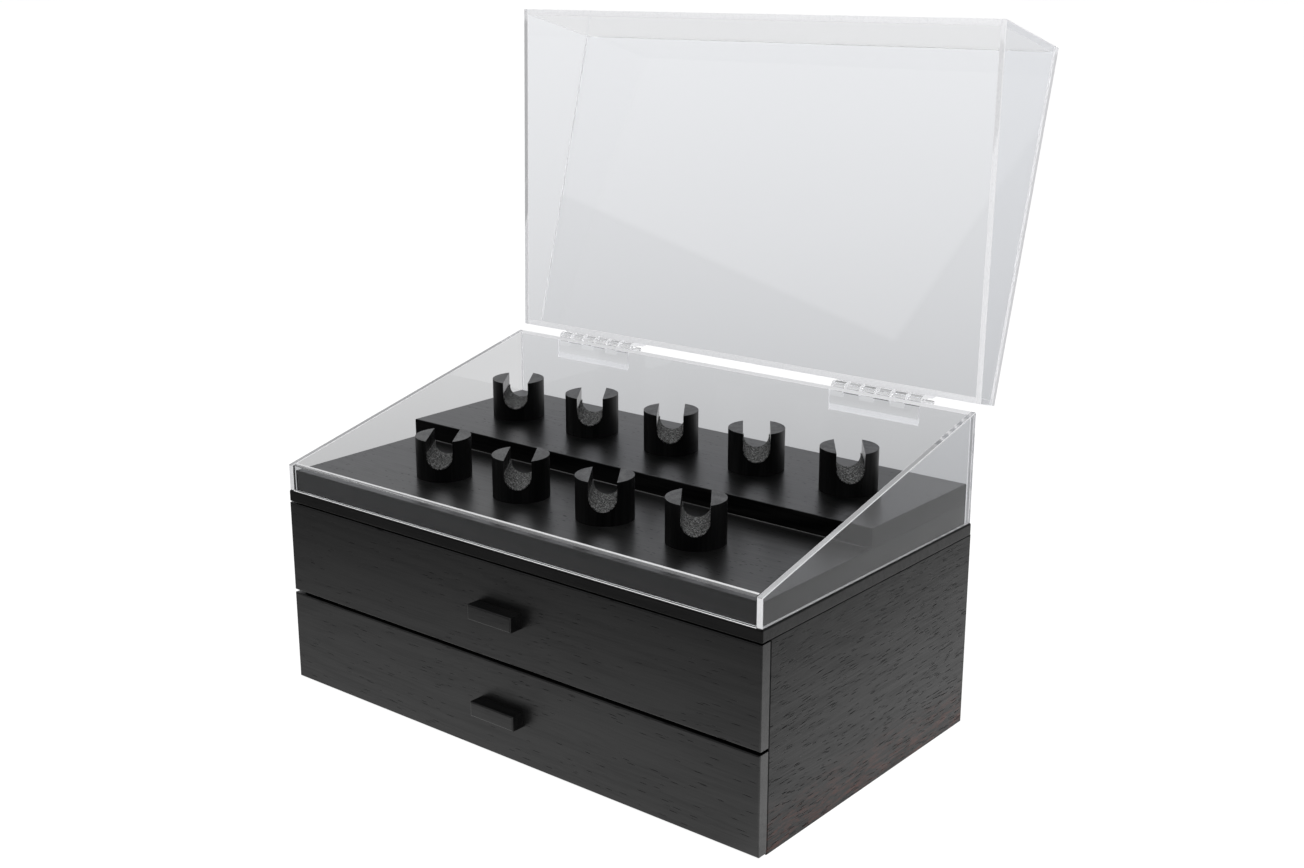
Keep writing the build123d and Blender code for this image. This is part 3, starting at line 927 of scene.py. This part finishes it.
@dataclass
class PostRow:
    """Slotted posts of one row, modelled once and copied to each place.

    Attributes:
        names: The nodes of the posts in this row.
        seed: Number of the first post's pattern.
        slot_width: Width of the slot.
        slot_floor: Height of the lowest line of the slot's round floor.
        slot_turn: Turn of the slot to the left of the case's depth.
        edge: Width of the broken edges.
        leaning: How far a face of the slot may turn out of its own plane.
        level: How far a face must look up to be end grain.
        felt_gap: Air between the felt and the wood.
        felt_thickness: Thickness of the felt.
        felt_height: How far the felt reaches up.
        felt_setback: How far the felt stays within the post.
        felt_grit: Size of the felt's facets.
        nap_grain: Size of the felt's lumps.
        nap_depth: Height of the lumps.
        nap_middle: Share of that height that goes into the felt.
        wood: Finish of the round side.
        smooth: Finish of the slot's walls.
        end_grain_and_light: Finish of the top, lighter than the side: partly end grain, partly painted light
            on the upward face.
        felt: Finish of the lining.
        radius: A post's radius, read from its node.
        height: A post's height, read from its node.
    """

    names: list[str]
    seed: int = 40
    slot_width: float = 22.5 * MM
    slot_floor: float = 11 * MM
    slot_turn: float = math.radians(36)
    edge: float = 0.45 * MM
    leaning: float = 0.1
    level: float = 0.9
    felt_gap: float = 0.05 * MM
    felt_thickness: float = 0.8 * MM
    felt_height: float = 24 * MM
    felt_setback: float = 0.3 * MM
    felt_grit: float = 0.42 * MM
    nap_grain: float = 1.0 * MM
    nap_depth: float = 0.5 * MM
    nap_middle: float = 0.66
    wood: StainedWood = StainedWood(
        light=(0.0026, 0.0026, 0.0027),
        roughness=0.46,
        gloss=0.22,
        pores=0.4,
        pore_length=9 * MM,
        relief=0.10 * MM,
    )
    smooth: StainedWood = StainedWood(
        dark=(0.008, 0.008, 0.008),
        light=(0.024, 0.024, 0.024),
        roughness=0.26,
        gloss=0.85,
        pores=0.2,
        relief=0.0,
    )
    # The top's lighter colour is partly end grain and partly painted light on the upward face.
    end_grain_and_light: StainedWood = StainedWood(
        dark=(0.010, 0.010, 0.010),
        light=(0.046, 0.046, 0.046),
        roughness=0.42,
        gloss=0.55,
        relief=0.06 * MM,
    )
    felt: Felt = Felt()
    radius: float = field(init=False)
    height: float = field(init=False)

    def __post_init__(self) -> None:
        """Reads a post's size from its node."""
        low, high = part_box(self.names[0])
        self.radius = (high.x - low.x) / 2
        self.height = high.z - low.z

    def slot_tool(self, radius: float, top: float) -> bpy.types.Object:
        """Makes a round-bottomed bar along Y, about the slot's centre line.

        Args:
            radius: Radius of its round bottom.
            top: Height of its top.

        Returns:
            The bar.
        """
        centre = self.slot_floor + self.slot_width / 2
        tool = cylinder(radius, 3 * self.radius, (0, 0, centre), (QUARTER_TURN, 0, 0), 96)
        with editing(tool):
            bpy.ops.mesh.select_all(action="DESELECT")
        # The upper half is drawn up to the top, which leaves a round bottom under straight sides.
        for vertex in tool.data.vertices:
            vertex.select = vertex.co.z > centre + HAIR
        bpy.ops.object.mode_set(mode="EDIT")
        bpy.ops.transform.translate(value=(0, 0, top - centre - radius))
        bpy.ops.object.mode_set(mode="OBJECT")
        return tool

    def turned_post(self) -> bpy.types.Object:
        """Makes one post about the origin, with its slot along Y.

        Returns:
            The post, whose faces have the numbers of their finishes.
        """
        post = cylinder(self.radius, self.height, (0, 0, self.height / 2))
        cut(post, self.slot_tool(self.slot_width / 2, 2 * self.height))
        round_edges(post, self.edge, 3)
        for _ in PostFace:
            post.data.materials.append(None)
        for face in post.data.polygons:
            near_slot = abs(face.center.x) < self.slot_width / 2 + self.edge
            faces_slot = abs(face.normal.y) < self.leaning and face.normal.z > -self.leaning
            if face.normal.z > self.level and face.center.z > self.height - self.edge:
                face.material_index = PostFace.TOP
            else:
                face.material_index = PostFace.SLOT if near_slot and faces_slot else PostFace.SIDE
        return post

    def felt_strip(self) -> bpy.types.Object:
        """Makes the strip of felt that lines the slot's round floor.

        Returns:
            The strip about the origin.
        """
        outer = self.slot_width / 2 - self.felt_gap
        strip = self.slot_tool(outer, 2 * self.height)
        cut(strip, self.slot_tool(outer - self.felt_thickness, 3 * self.height))
        reach = cylinder(self.radius - self.felt_setback, self.felt_height, (0, 0, self.felt_height / 2))
        cut(strip, reach, Keep.INSIDE)
        remesh = strip.modifiers.new("mat", "REMESH")
        remesh.mode = "VOXEL"
        remesh.voxel_size = self.felt_grit
        nap = strip.modifiers.new("nap", "DISPLACE")
        nap.texture = bpy.data.textures.new("felt_nap", "CLOUDS")
        nap.texture.noise_scale = self.nap_grain
        nap.strength = self.nap_depth
        nap.mid_level = self.nap_middle
        nap.texture_coords = "LOCAL"
        apply_all(strip)
        bpy.ops.object.shade_smooth()
        return strip

    def copy_to(self, pattern: bpy.types.Object, name: str, node: str) -> bpy.types.Object:
        """Copies a pattern, with its own mesh, turned and moved to a post's place.

        Args:
            pattern: The piece about the origin.
            name: The copy's name.
            node: The CAD node of the post that it belongs to.

        Returns:
            The copy, with its place in its mesh.
        """
        low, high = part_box(node)
        pick(pattern)
        bpy.ops.object.duplicate(linked=False)
        piece = bpy.context.active_object
        piece.name = name
        piece.rotation_euler = (0, 0, self.slot_turn)
        piece.location = ((low.x + high.x) / 2, (low.y + high.y) / 2, low.z)
        settle(piece)
        return piece

    def build(self) -> None:
        """Makes the posts and their linings, and dresses them."""
        post, strip = self.turned_post(), self.felt_strip()
        felt = self.felt.material(f"felt_{self.names[0]}")
        finishes = {PostFace.SIDE: self.wood, PostFace.SLOT: self.smooth, PostFace.TOP: self.end_grain_and_light}
        for seed, node in enumerate(self.names, start=self.seed):
            turned = self.copy_to(post, f"{node}_turned", node)
            for face, finish in finishes.items():
                stain = finish.material(f"stain_{node}_{face.name.lower()}", Grain.ALONG_Z, seed)
                turned.data.materials[face.value] = stain
            seat(turned, "cabinet", "cradle_wood", node)
            lining = self.copy_to(strip, f"{node}_felt", node)
            dress(lining, felt)
            seat(lining, "cabinet", "felt", "felt_linings")
        bpy.data.objects.remove(post)
        bpy.data.objects.remove(strip)


class WallFace(IntEnum):
    """The finish of a clear wall's face, as the number of its material."""

    POLISHED = 0
    SAWN = 1
    BRIGHT = 2


@dataclass
class ClearWalls:
    """The clear walls of the hood and the lid, with satin sawn edges that have a painted glow.

    Attributes:
        nodes: The CAD nodes by name.
        gap: Half of the air that is left in a glued joint.
        polish: Width of the broken edge.
        even: Greatest angle between faces that are merged into one.
        flat: How near a face must lie to the wall's own plane to count as its polished face.
        square: How near a face must lie to a right angle with that plane to count as a sawn face.
        foot: How far a face must look down or to the side to count as a foot or an end.
        sheet: Polish of the usual wall.
        painted_shade_sheet: Clear wall with a darker tint: painted shade.
        pale: Clear wall with no tint and a low index of refraction: painted light that makes it read lighter.
        hood_edge: Sawn edge of the hood.
        marked_edge: Sawn edge with slanted marks.
        lid_edge: Sawn edge of the lid.
        clean_edge: Sawn edge that is nearly clear.
        front_edge: Edge of the hood's front wall, with a painted glow at the back and painted shade at the
            front, where it is left mostly clear.
        rim: Edge of the lid with a painted glow.
        arris: Broken edge between a polished face and a sawn one, with a painted glow.
    """

    nodes: dict[str, bpy.types.Object]
    gap: float = 0.02 * MM
    polish: float = 0.55 * MM
    even: float = math.radians(0.5)
    flat: float = 0.95
    square: float = 0.05
    foot: float = 0.2
    sheet: ClearAcrylic = ClearAcrylic()
    # Shaded and lit copies of one acrylic: the darker tint is painted shade, the white tint with the low
    # index is painted light.
    painted_shade_sheet: ClearAcrylic = ClearAcrylic(tint=(0.912, 0.920, 0.936))
    pale: ClearAcrylic = ClearAcrylic(tint=WHITE, shade=(0.985, 0.985, 0.990), ior=1.36)
    hood_edge: ClearAcrylic = ClearAcrylic(frost=0.55)
    marked_edge: ClearAcrylic = ClearAcrylic(frost=0.55, chatter=0.8)
    lid_edge: ClearAcrylic = ClearAcrylic(frost=0.68)
    clean_edge: ClearAcrylic = ClearAcrylic(frost=0.25)
    # The front edge, the rim and the arris emit light though they are no lamp: a painted glow on the edges.
    front_edge: ClearAcrylic = ClearAcrylic(frost=0.95, glow=0.35, bright_from=-142.5 * MM)
    rim: ClearAcrylic = ClearAcrylic(frost=0.80, glow=0.35)
    arris: ClearAcrylic = ClearAcrylic(frost=0.95, glow=0.35)

    def build(self) -> None:
        """Makes every wall from its node."""
        sheet = self.sheet.material("clear_sheet")
        painted_shade_sheet = self.painted_shade_sheet.material("clear_painted_shade_sheet")
        pale = self.pale.material("clear_painted_light_sheet")
        rim = self.rim.material("clear_rim")
        arris = self.arris.material("clear_arris")
        sheets = {"lid_top": painted_shade_sheet, "hood_side_right": painted_shade_sheet, "hood_front": painted_shade_sheet}
        sheets |= {"lid_front": pale, "hood_side_left": pale}
        edges = {
            "hood_side_right": self.marked_edge.material("clear_marked_edge"),
            "hood_front": self.front_edge.material("clear_front_edge"),
            "lid_front": self.clean_edge.material("clear_clean_edge"),
            "lid_side_right": rim,
            "lid_top": rim,
        }
        groups = {
            "hood": ("cabinet", self.hood_edge.material("clear_hood_edge")),
            "lid": ("lid", self.lid_edge.material("clear_lid_edge")),
        }
        for name in sorted(self.nodes):
            group = name.partition("_")[0]
            if group not in groups:
                continue
            body, usual_edge = groups[group]
            wall = merged_copy(self.nodes[name], f"{name}_sheet", self.gap)
            with editing(wall):
                bpy.ops.mesh.dissolve_limited(angle_limit=self.even)
            round_edges(wall, self.polish, 2)
            dress(wall, sheets.get(name, sheet), edges.get(name, usual_edge), arris)
            broad = max(wall.data.polygons, key=lambda face: face.area).normal.copy()
            for face in wall.data.polygons:
                face.material_index = self.finish_of(name, face.normal, broad)
            seat(wall, body, "clear_acrylic", name)

    def finish_of(self, name: str, normal: Vector, broad: Vector) -> WallFace:
        """Tells how one face of a wall is finished.

        Args:
            name: The wall's node.
            normal: The face's normal.
            broad: The normal of the wall's broad faces.

        Returns:
            The face's finish.
        """
        lean = abs(normal.dot(broad))
        if lean > self.flat:
            return WallFace.POLISHED
        # Bevels and some ends below get the glowing finish, a painted glow.
        is_end = abs(normal.x) > self.foot
        if name == "hood_front":
            if is_end or normal.z < -self.foot:
                return WallFace.POLISHED
            return WallFace.SAWN if normal.y < 0 else WallFace.BRIGHT
        if name.startswith("hood_side"):
            if normal.y < -self.flat:
                return WallFace.BRIGHT
            if normal.z < -self.foot:
                return WallFace.SAWN
        if name == "lid_front" and is_end:
            return WallFace.BRIGHT
        return WallFace.SAWN if lean < self.square else WallFace.BRIGHT


class HingeFace(IntEnum):
    """The finish of a hinge's face, as the number of its material."""

    CLEAR = 0
    BRIGHT = 1
    ROUND = 2
    NECK = 3


@dataclass
class ClearHinges:
    """The two moulded hinges and their pins.

    Attributes:
        nodes: The CAD nodes by name.
        gap: Half of the air that is left round a piece.
        flat: How near a face must lie to a plane to count as lying in it.
        bevel_area: Smallest face of a leaf's bevelled edge.
        neck_area: Smallest face of a knuckle's neck.
        smooth: Greatest angle that is shaded as round.
        clear: Finish of the leaves' broad faces.
        bright: Finish of the ends and the bevelled edges, with a strong painted glow.
        rounded: Finish of the knuckles and the pins, with a faint painted glow as their highlights.
        neck: Finish of the necks, which hardly show.
    """

    nodes: dict[str, bpy.types.Object]
    gap: float = 0.03 * MM
    flat: float = 0.99
    bevel_area: float = 80 * MM * MM
    neck_area: float = 25 * MM * MM
    smooth: float = math.radians(30)
    clear: ClearAcrylic = ClearAcrylic(tint=WHITE, haze=0.01, ior=1.30)
    # The ends, the bevels and the knuckles emit light though they are no lamp: painted glow and painted
    # highlights.
    bright: ClearAcrylic = ClearAcrylic(tint=WHITE, haze=0.06, ior=1.40, frost=0.80, glow=0.55)
    rounded: ClearAcrylic = ClearAcrylic(tint=WHITE, haze=0.06, ior=1.36, frost=0.10, glow=0.10)
    neck: ClearAcrylic = ClearAcrylic(tint=WHITE, haze=0.01, ior=1.03)

    def build(self) -> None:
        """Makes every leaf and pin from its node, with smooth knuckles."""
        materials = (
            self.clear.material("clear_moulded"),
            self.bright.material("clear_moulded_edge"),
            self.rounded.material("clear_moulded_round"),
            self.neck.material("clear_moulded_neck"),
        )
        for name in sorted(self.nodes):
            if not name.startswith("hinge_"):
                continue
            part = merged_copy(self.nodes[name], f"{name}_moulded", self.gap)
            pick(part)
            bpy.ops.object.shade_smooth_by_angle(angle=self.smooth)
            dress(part, *materials)
            broad = max(part.data.polygons, key=lambda face: face.area).normal.copy()
            for face in part.data.polygons:
                face.material_index = self.finish_of(face, broad)
            seat(part, "lid" if "lid_leaf" in name else "cabinet", "hinge_acrylic", name)

    def finish_of(self, face: bpy.types.MeshPolygon, broad: Vector) -> HingeFace:
        """Tells how one face of a hinge is finished.

        Args:
            face: The face.
            broad: The normal of the piece's broadest face.

        Returns:
            The face's finish.
        """
        if abs(face.normal.dot(broad)) > self.flat:
            return HingeFace.CLEAR
        if abs(face.normal.x) > self.flat or face.area > self.bevel_area:
            return HingeFace.BRIGHT
        return HingeFace.NECK if face.area > self.neck_area else HingeFace.ROUND


class HeadSide(Enum):
    """The side of a screw that its head is on, as the axis and the sign along it."""

    TO_MIDDLE = (0, None)
    TO_BACK = (1, 1.0)


@dataclass
class Screws:
    """The screws: those that an open drawer shows have cross recesses, and the others keep their meshes.

    Attributes:
        nodes: The CAD nodes by name.
        recess_width: Width of a recess's arm.
        recess_span: Length of a recess across the head.
        recess_depth: Depth of a recess.
        recess_turn: Turn of a recess.
        smooth: Greatest angle that is shaded as round.
        shown: Nodes with heads that show, each with its body and the side of its heads.
    """

    nodes: dict[str, bpy.types.Object]
    recess_width: float = 0.75 * MM
    recess_span: float = 3.6 * MM
    recess_depth: float = 1.2 * MM
    recess_turn: float = math.radians(20)
    smooth: float = math.radians(30)
    shown: tuple[tuple[str, str, HeadSide], ...] = (
        ("runner_screws", "cabinet", HeadSide.TO_MIDDLE),
        ("lower_handle_screws", "lower_drawer", HeadSide.TO_BACK),
        ("upper_handle_screws", "upper_drawer", HeadSide.TO_BACK),
    )

    def build(self) -> None:
        """Recesses the heads that show, and dresses every screw."""
        zinc = ZincSteel().material("zinc_steel")
        for name, piece in self.nodes.items():
            if name.endswith("screws"):
                dress(piece, zinc)
        for node, body, side in self.shown:
            for number, screw in enumerate(self.separated(node), start=1):
                screw.name = f"{node}_{number}"
                self.recess(screw, side)
                dress(screw, zinc)
                seat(screw, body, "steel", node)

    def separated(self, node: str) -> list[bpy.types.Object]:
        """Copies a node and takes the copy apart into its single screws.

        Args:
            node: The node.

        Returns:
            The screws, in order of place.
        """
        with editing(merged_copy(self.nodes[node], f"{node}_copy", 0.0)):
            bpy.ops.mesh.separate(type="LOOSE")
        return sorted(bpy.context.selected_objects, key=lambda piece: tuple(piece.data.vertices[0].co))

    def recess(self, screw: bpy.types.Object, side: HeadSide) -> None:
        """Cuts a cross into a screw's head.

        Args:
            screw: The screw.
            side: Where its head is.
        """
        corners = [vertex.co for vertex in screw.data.vertices]
        low = Vector([min(corner[axis] for corner in corners) for axis in range(3)])
        high = Vector([max(corner[axis] for corner in corners) for axis in range(3)])
        axis, sign = side.value
        # A head without a set side is on the side of the case's middle.
        if sign is None:
            sign = -math.copysign(1.0, low[axis] + high[axis])
        centre = (low + high) / 2
        centre[axis] = high[axis] if sign > 0 else low[axis]
        for turn in (0.0, QUARTER_TURN):
            deselect()
            bpy.ops.mesh.primitive_cube_add(size=1.0, location=centre)
            arm = bpy.context.active_object
            arm.scale = (self.recess_span, self.recess_span, self.recess_width)
            arm.scale[axis] = 2 * self.recess_depth
            arm.rotation_euler[axis] = self.recess_turn + turn
            settle(arm)
            cut(screw, arm)
        pick(screw)
        bpy.ops.object.shade_smooth_by_angle(angle=self.smooth)


@dataclass
class Beads:
    """The thin bead at the riser's foot, coloured light grey as a painted highlight line, and the bead of
    glue at the hood's foot, with a painted glow.

    Attributes:
        riser_bead_radius: Radius of the bead at the riser's foot.
        glue_radius: Radius of the bead of glue.
        lacquer: Finish of the bead at the riser's foot, light grey and glossy: a painted highlight line.
        glue: Finish of the bead of glue, white with a strong painted glow.
        sides: Faces round a bead.
        ends: Edges sharper than this, in degrees, are rounded.
    """

    riser_bead_radius: float = 0.5 * MM
    glue_radius: float = 0.32 * MM
    # Painted highlight: the bead is coloured light grey so that the riser's foot shows a light line.
    lacquer: StainedWood = StainedWood(
        dark=(0.020, 0.020, 0.020), light=(0.060, 0.060, 0.060), roughness=0.20, gloss=0.8, relief=0.0
    )
    # Painted glow: the glue emits light though it is no lamp, for the bright line at the hood's foot.
    glue: ClearAcrylic = ClearAcrylic(frost=0.95, glow=0.70)
    sides: int = 16
    ends: float = 50.0

    def lay(self, name: str, node: str, radius: float) -> bpy.types.Object:
        """Lays a bead along the foot of a node's front face.

        Args:
            name: The bead's name.
            node: The node.
            radius: Radius of the bead.

        Returns:
            The bead.
        """
        low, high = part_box(node)
        middle = ((low.x + high.x) / 2, low.y, low.z)
        bead = cylinder(radius, high.x - low.x, middle, (0, QUARTER_TURN, 0), self.sides)
        bead.name = name
        round_edges(bead, radius / 3, 2, self.ends)
        return bead

    def build(self) -> None:
        """Lays both beads and dresses them."""
        bead = self.lay("riser_foot_bead", "riser_board", self.riser_bead_radius)
        dress(bead, self.lacquer.material("bead_painted_highlight", Grain.ALONG_X, 70))
        seat(bead, "cabinet", "deck_wood")
        seam = self.lay("hood_foot_bead", "hood_front", self.glue_radius)
        dress(seam, self.glue.material("bead_glue_painted_glow"))
        seat(seam, "cabinet", "clear_acrylic")


@dataclass
class Studio:
    """The pale floor, the light and the camera at the photograph's angle.

    The floor and the room have other levels where gloss or glass sees them than where the camera
    does, so that they read as white and the wood still shows a lit side and a dark one.

    Attributes:
        eye: The camera's place.
        azimuth: Turn of the view to the left of +Y, in degrees.
        tilt: How far the view looks down, in degrees.
        lens: Focal length.
        sensor: Width of the sensor.
        clip: Nearest and farthest place that the camera sees.
        floor_size: Breadth of the floor.
        floor_drop: How far the floor lies under the case.
        paper: Darkest and lightest grey of the floor's paper.
        paper_pitch: Grains per metre in the paper.
        paper_glow: Light of the floor where the camera sees it.
        through: Level of the floor through glass, far away.
        through_dip: How much that level falls towards the case.
        through_reach: Distance over which it falls.
        gloss_front: Level of the floor in gloss, from the front to the back.
        gloss_left: The same from the left to the case.
        gloss_rear: The least of it behind the case.
        gloss_near: Its rise close to the case's right side.
        gloss_far: Its fall farther to the right.
        cool: Colour of the floor and the room through glass.
        box_corner: Lower left corner of the softbox.
        box_along: Direction of its lower edge.
        box_facing: Direction that it faces.
        box_size: Its breadth and height.
        box_edge: Share of its breadth over which its edge fades.
        box_glow: Its light.
        box_dim: Its least light between the folds of its cloth, as a share.
        fill_place: Place of the fill light.
        fill_power: Its power.
        fill_size: Its breadth.
        room_back: Light of the room from the front to the back.
        room_side: The same from the left to the right.
        room_lift: The same from the ground up.
        room_colour: Colour of the room's light.
        room_through: Level of the room through glass.
        bounces: Bounces of light.
        clear_layers: Clear layers that a ray may cross.
    """

    eye: Triple = (0.8490, -1.0019, 0.6076)
    azimuth: float = 39.10
    tilt: float = 15.73
    lens: float = 45.57
    sensor: float = 36.0
    clip: tuple[float, float] = (0.05, 200.0)
    floor_size: float = 60.0
    floor_drop: float = 0.4 * MM
    paper: tuple[Colour, Colour] = ((0.13, 0.13, 0.13), (0.15, 0.15, 0.15))
    paper_pitch: float = 400.0
    paper_glow: float = 0.965
    through: float = 0.925
    through_dip: float = 0.38
    through_reach: float = 0.25
    gloss_front: Ramp = Ramp(-0.62, -0.22, 0.14, 1.0)
    gloss_left: Ramp = Ramp(-0.9, 0.1, 0.4, 1.0)
    gloss_rear: Ramp = Ramp(0.2, 0.6, 0.0, 0.8)
    gloss_near: Ramp = Ramp(0.20, 0.30, 1.0, 1.75)
    gloss_far: Ramp = Ramp(0.33, 0.56, 1.0, 0.30)
    cool: Colour = (0.985, 0.99, 1.0)
    box_corner: Triple = (-0.737, -1.327, 0.718)
    box_along: Triple = (-0.958, 0.211, 0.192)
    box_facing: Triple = (0.256, 0.934, 0.250)
    box_size: float = 1.7
    box_edge: float = 0.012
    box_glow: float = 1.08
    box_dim: float = 0.92
    fill_place: Triple = (1.4, -1.7, 2.3)
    fill_power: float = 95.0
    fill_size: float = 1.6
    room_back: Ramp = Ramp(-0.6, 0.5, 0.13, 0.78)
    room_side: Ramp = Ramp(-0.4, 0.7, 1.0, 0.40)
    room_lift: Ramp = Ramp(0.0, 0.6, 0.90, 1.10)
    room_colour: Colour = (0.97, 0.98, 1.0)
    room_through: float = 0.97
    bounces: int = 24
    clear_layers: int = 32

    def set_camera(self) -> None:
        """Places the camera."""
        data = bpy.data.cameras.new("camera")
        data.sensor_fit = "HORIZONTAL"
        data.sensor_width = self.sensor
        data.lens = self.lens
        data.clip_start, data.clip_end = self.clip
        camera = bpy.data.objects.new("camera", data)
        bpy.context.scene.collection.objects.link(camera)
        camera.location = self.eye
        camera.rotation_euler = (math.radians(90 - self.tilt), 0.0, math.radians(self.azimuth))
        bpy.context.scene.camera = camera

    def lay_floor(self) -> None:
        """Lays a pale floor that reads as white, and that glass and gloss see unevenly lit."""
        deselect()
        bpy.ops.mesh.primitive_grid_add(x_subdivisions=4, y_subdivisions=4, size=self.floor_size)
        floor = bpy.context.active_object
        floor.name = "studio_floor"
        floor.location.z = -self.floor_drop
        settle(floor)
        board = MaterialBoard("pale_floor")
        here = board.here()
        glossy = board.add("Emission", {"Strength": self.level_in_gloss(board, here)}).outputs[0]
        away = board.add("VectorMath", {0: here}, operation="LENGTH").outputs["Value"]
        dip = board.math("DIVIDE", self.through_dip, board.math("ADD", away, self.through_reach))
        level = board.math("SUBTRACT", self.through, dip)
        through = board.add("Emission", {"Color": opaque(self.cool), "Strength": level}).outputs[0]
        grains = board.noise(board.place(here, (self.paper_pitch,) * 3))
        white = board.add("BsdfDiffuse", {"Color": board.tint(grains, *self.paper)}).outputs[0]
        glow = board.add("Emission", {"Strength": self.paper_glow}).outputs[0]
        lit = board.add("AddShader", {0: white, 1: glow}).outputs[0]
        path = board.add("LightPath", {}).outputs
        bounced = board.blend(path["Is Transmission Ray"], glossy, through)
        dress(floor, board.finish(board.blend(path["Is Camera Ray"], bounced, lit)))

    def level_in_gloss(self, board: NodeBoard, here: Socket) -> Socket:
        """Works out how bright the floor is where gloss shows it.

        Args:
            board: The floor's nodes.
            here: The socket of the floor's coordinates.

        Returns:
            The socket of the level.
        """
        side = board.parts(here)
        left = board.spread(side["X"], *self.gloss_left)
        left = board.math("MAXIMUM", left, board.spread(side["Y"], *self.gloss_rear))
        front = board.times(board.spread(side["Y"], *self.gloss_front), left)
        near = board.spread(side["X"], *self.gloss_near)
        return board.times(front, board.times(near, board.spread(side["X"], *self.gloss_far)))

    def hang_softbox(self) -> None:
        """Hangs the large softbox, with its rounded corners, at the front left."""
        facing = Vector(self.box_facing).normalized()
        along = Vector(self.box_along).normalized()
        up = along.cross(facing).normalized()
        if up.z < 0:
            up = -up
        middle = Vector(self.box_corner) + (along + up) * self.box_size / 2
        turn = Matrix((along, up, along.cross(up))).transposed().to_4x4()
        deselect()
        bpy.ops.mesh.primitive_plane_add(size=self.box_size)
        box = bpy.context.active_object
        box.name = "softbox"
        box.matrix_world = Matrix.Translation(middle) @ turn
        settle(box)
        board = MaterialBoard("softbox_cloth")
        folds = board.noise(board.place(board.here(), (3.0, 3.0, 3.0)), 2.0, 0.5)
        cloth = board.spread(folds, 0.3, 0.7, self.box_dim * self.box_glow, self.box_glow)
        flat = board.parts(board.add("TexCoord", {}).outputs["UV"])
        for axis in ("X", "Y"):
            inward = board.math("MINIMUM", flat[axis], board.math("SUBTRACT", 1.0, flat[axis]))
            cloth = board.times(cloth, board.spread(inward, 0.0, self.box_edge))
        dress(box, board.finish(board.add("Emission", {"Strength": cloth}).outputs[0]))
        box.visible_camera = False
        box.visible_transmission = False
        box.visible_shadow = False

    def hang_fill(self) -> None:
        """Hangs a soft fill light over the camera, which no gloss shows."""
        data = bpy.data.lights.new("fill", "AREA")
        data.size = self.fill_size
        data.energy = self.fill_power
        light = bpy.data.objects.new("fill", data)
        bpy.context.scene.collection.objects.link(light)
        light.location = self.fill_place
        light.rotation_euler = (-Vector(self.fill_place)).to_track_quat("-Z", "Y").to_euler()
        light.visible_camera = False
        light.visible_glossy = False
        light.visible_transmission = False

    def light_room(self) -> None:
        """Makes the room's own light: white where it is looked at, grey and uneven otherwise."""
        world = bpy.data.worlds.new("room")
        world.use_nodes = True
        board = NodeBoard(world.node_tree, "OutputWorld")
        side = board.parts(board.add("TexCoord", {}).outputs["Generated"])
        across = board.times(
            board.spread(side["Y"], *self.room_back), board.spread(side["X"], *self.room_side)
        )
        level = board.times(across, board.slope(side["Z"], self.room_lift))
        uneven = {"Color": opaque(self.room_colour), "Strength": level}
        behind = {"Color": opaque(self.cool), "Strength": self.room_through}
        backdrops = (uneven, behind, {"Color": opaque(WHITE)})
        room, glazed, white = (board.add("Background", inputs).outputs[0] for inputs in backdrops)
        path = board.add("LightPath", {}).outputs
        unseen = board.blend(path["Is Transmission Ray"], room, glazed)
        board.join(board.blend(path["Is Camera Ray"], unseen, white))
        bpy.context.scene.world = world

    def build(self) -> None:
        """Sets up the whole studio."""
        scene = bpy.context.scene
        scene.view_settings.view_transform = "Standard"
        scene.cycles.max_bounces = self.bounces
        scene.cycles.transmission_bounces = self.bounces
        scene.cycles.transparent_max_bounces = self.clear_layers
        self.set_camera()
        self.lay_floor()
        self.hang_softbox()
        self.hang_fill()
        self.light_room()


def main() -> None:
    """Builds and dresses the case in order."""
    logging.basicConfig(level=logging.INFO, format="%(message)s")
    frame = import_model()
    nodes = frame["nodes"]
    Boards(nodes).dress()
    ClearWalls(nodes).build()
    ClearHinges(nodes).build()
    Screws(nodes).build()
    Beads().build()
    PostRow([f"cradle_front_{number}" for number in range(1, 5)]).build()
    PostRow([f"cradle_back_{number}" for number in range(1, 6)], seed=50).build()
    Studio().build()


if __name__ == "__main__":
    main()
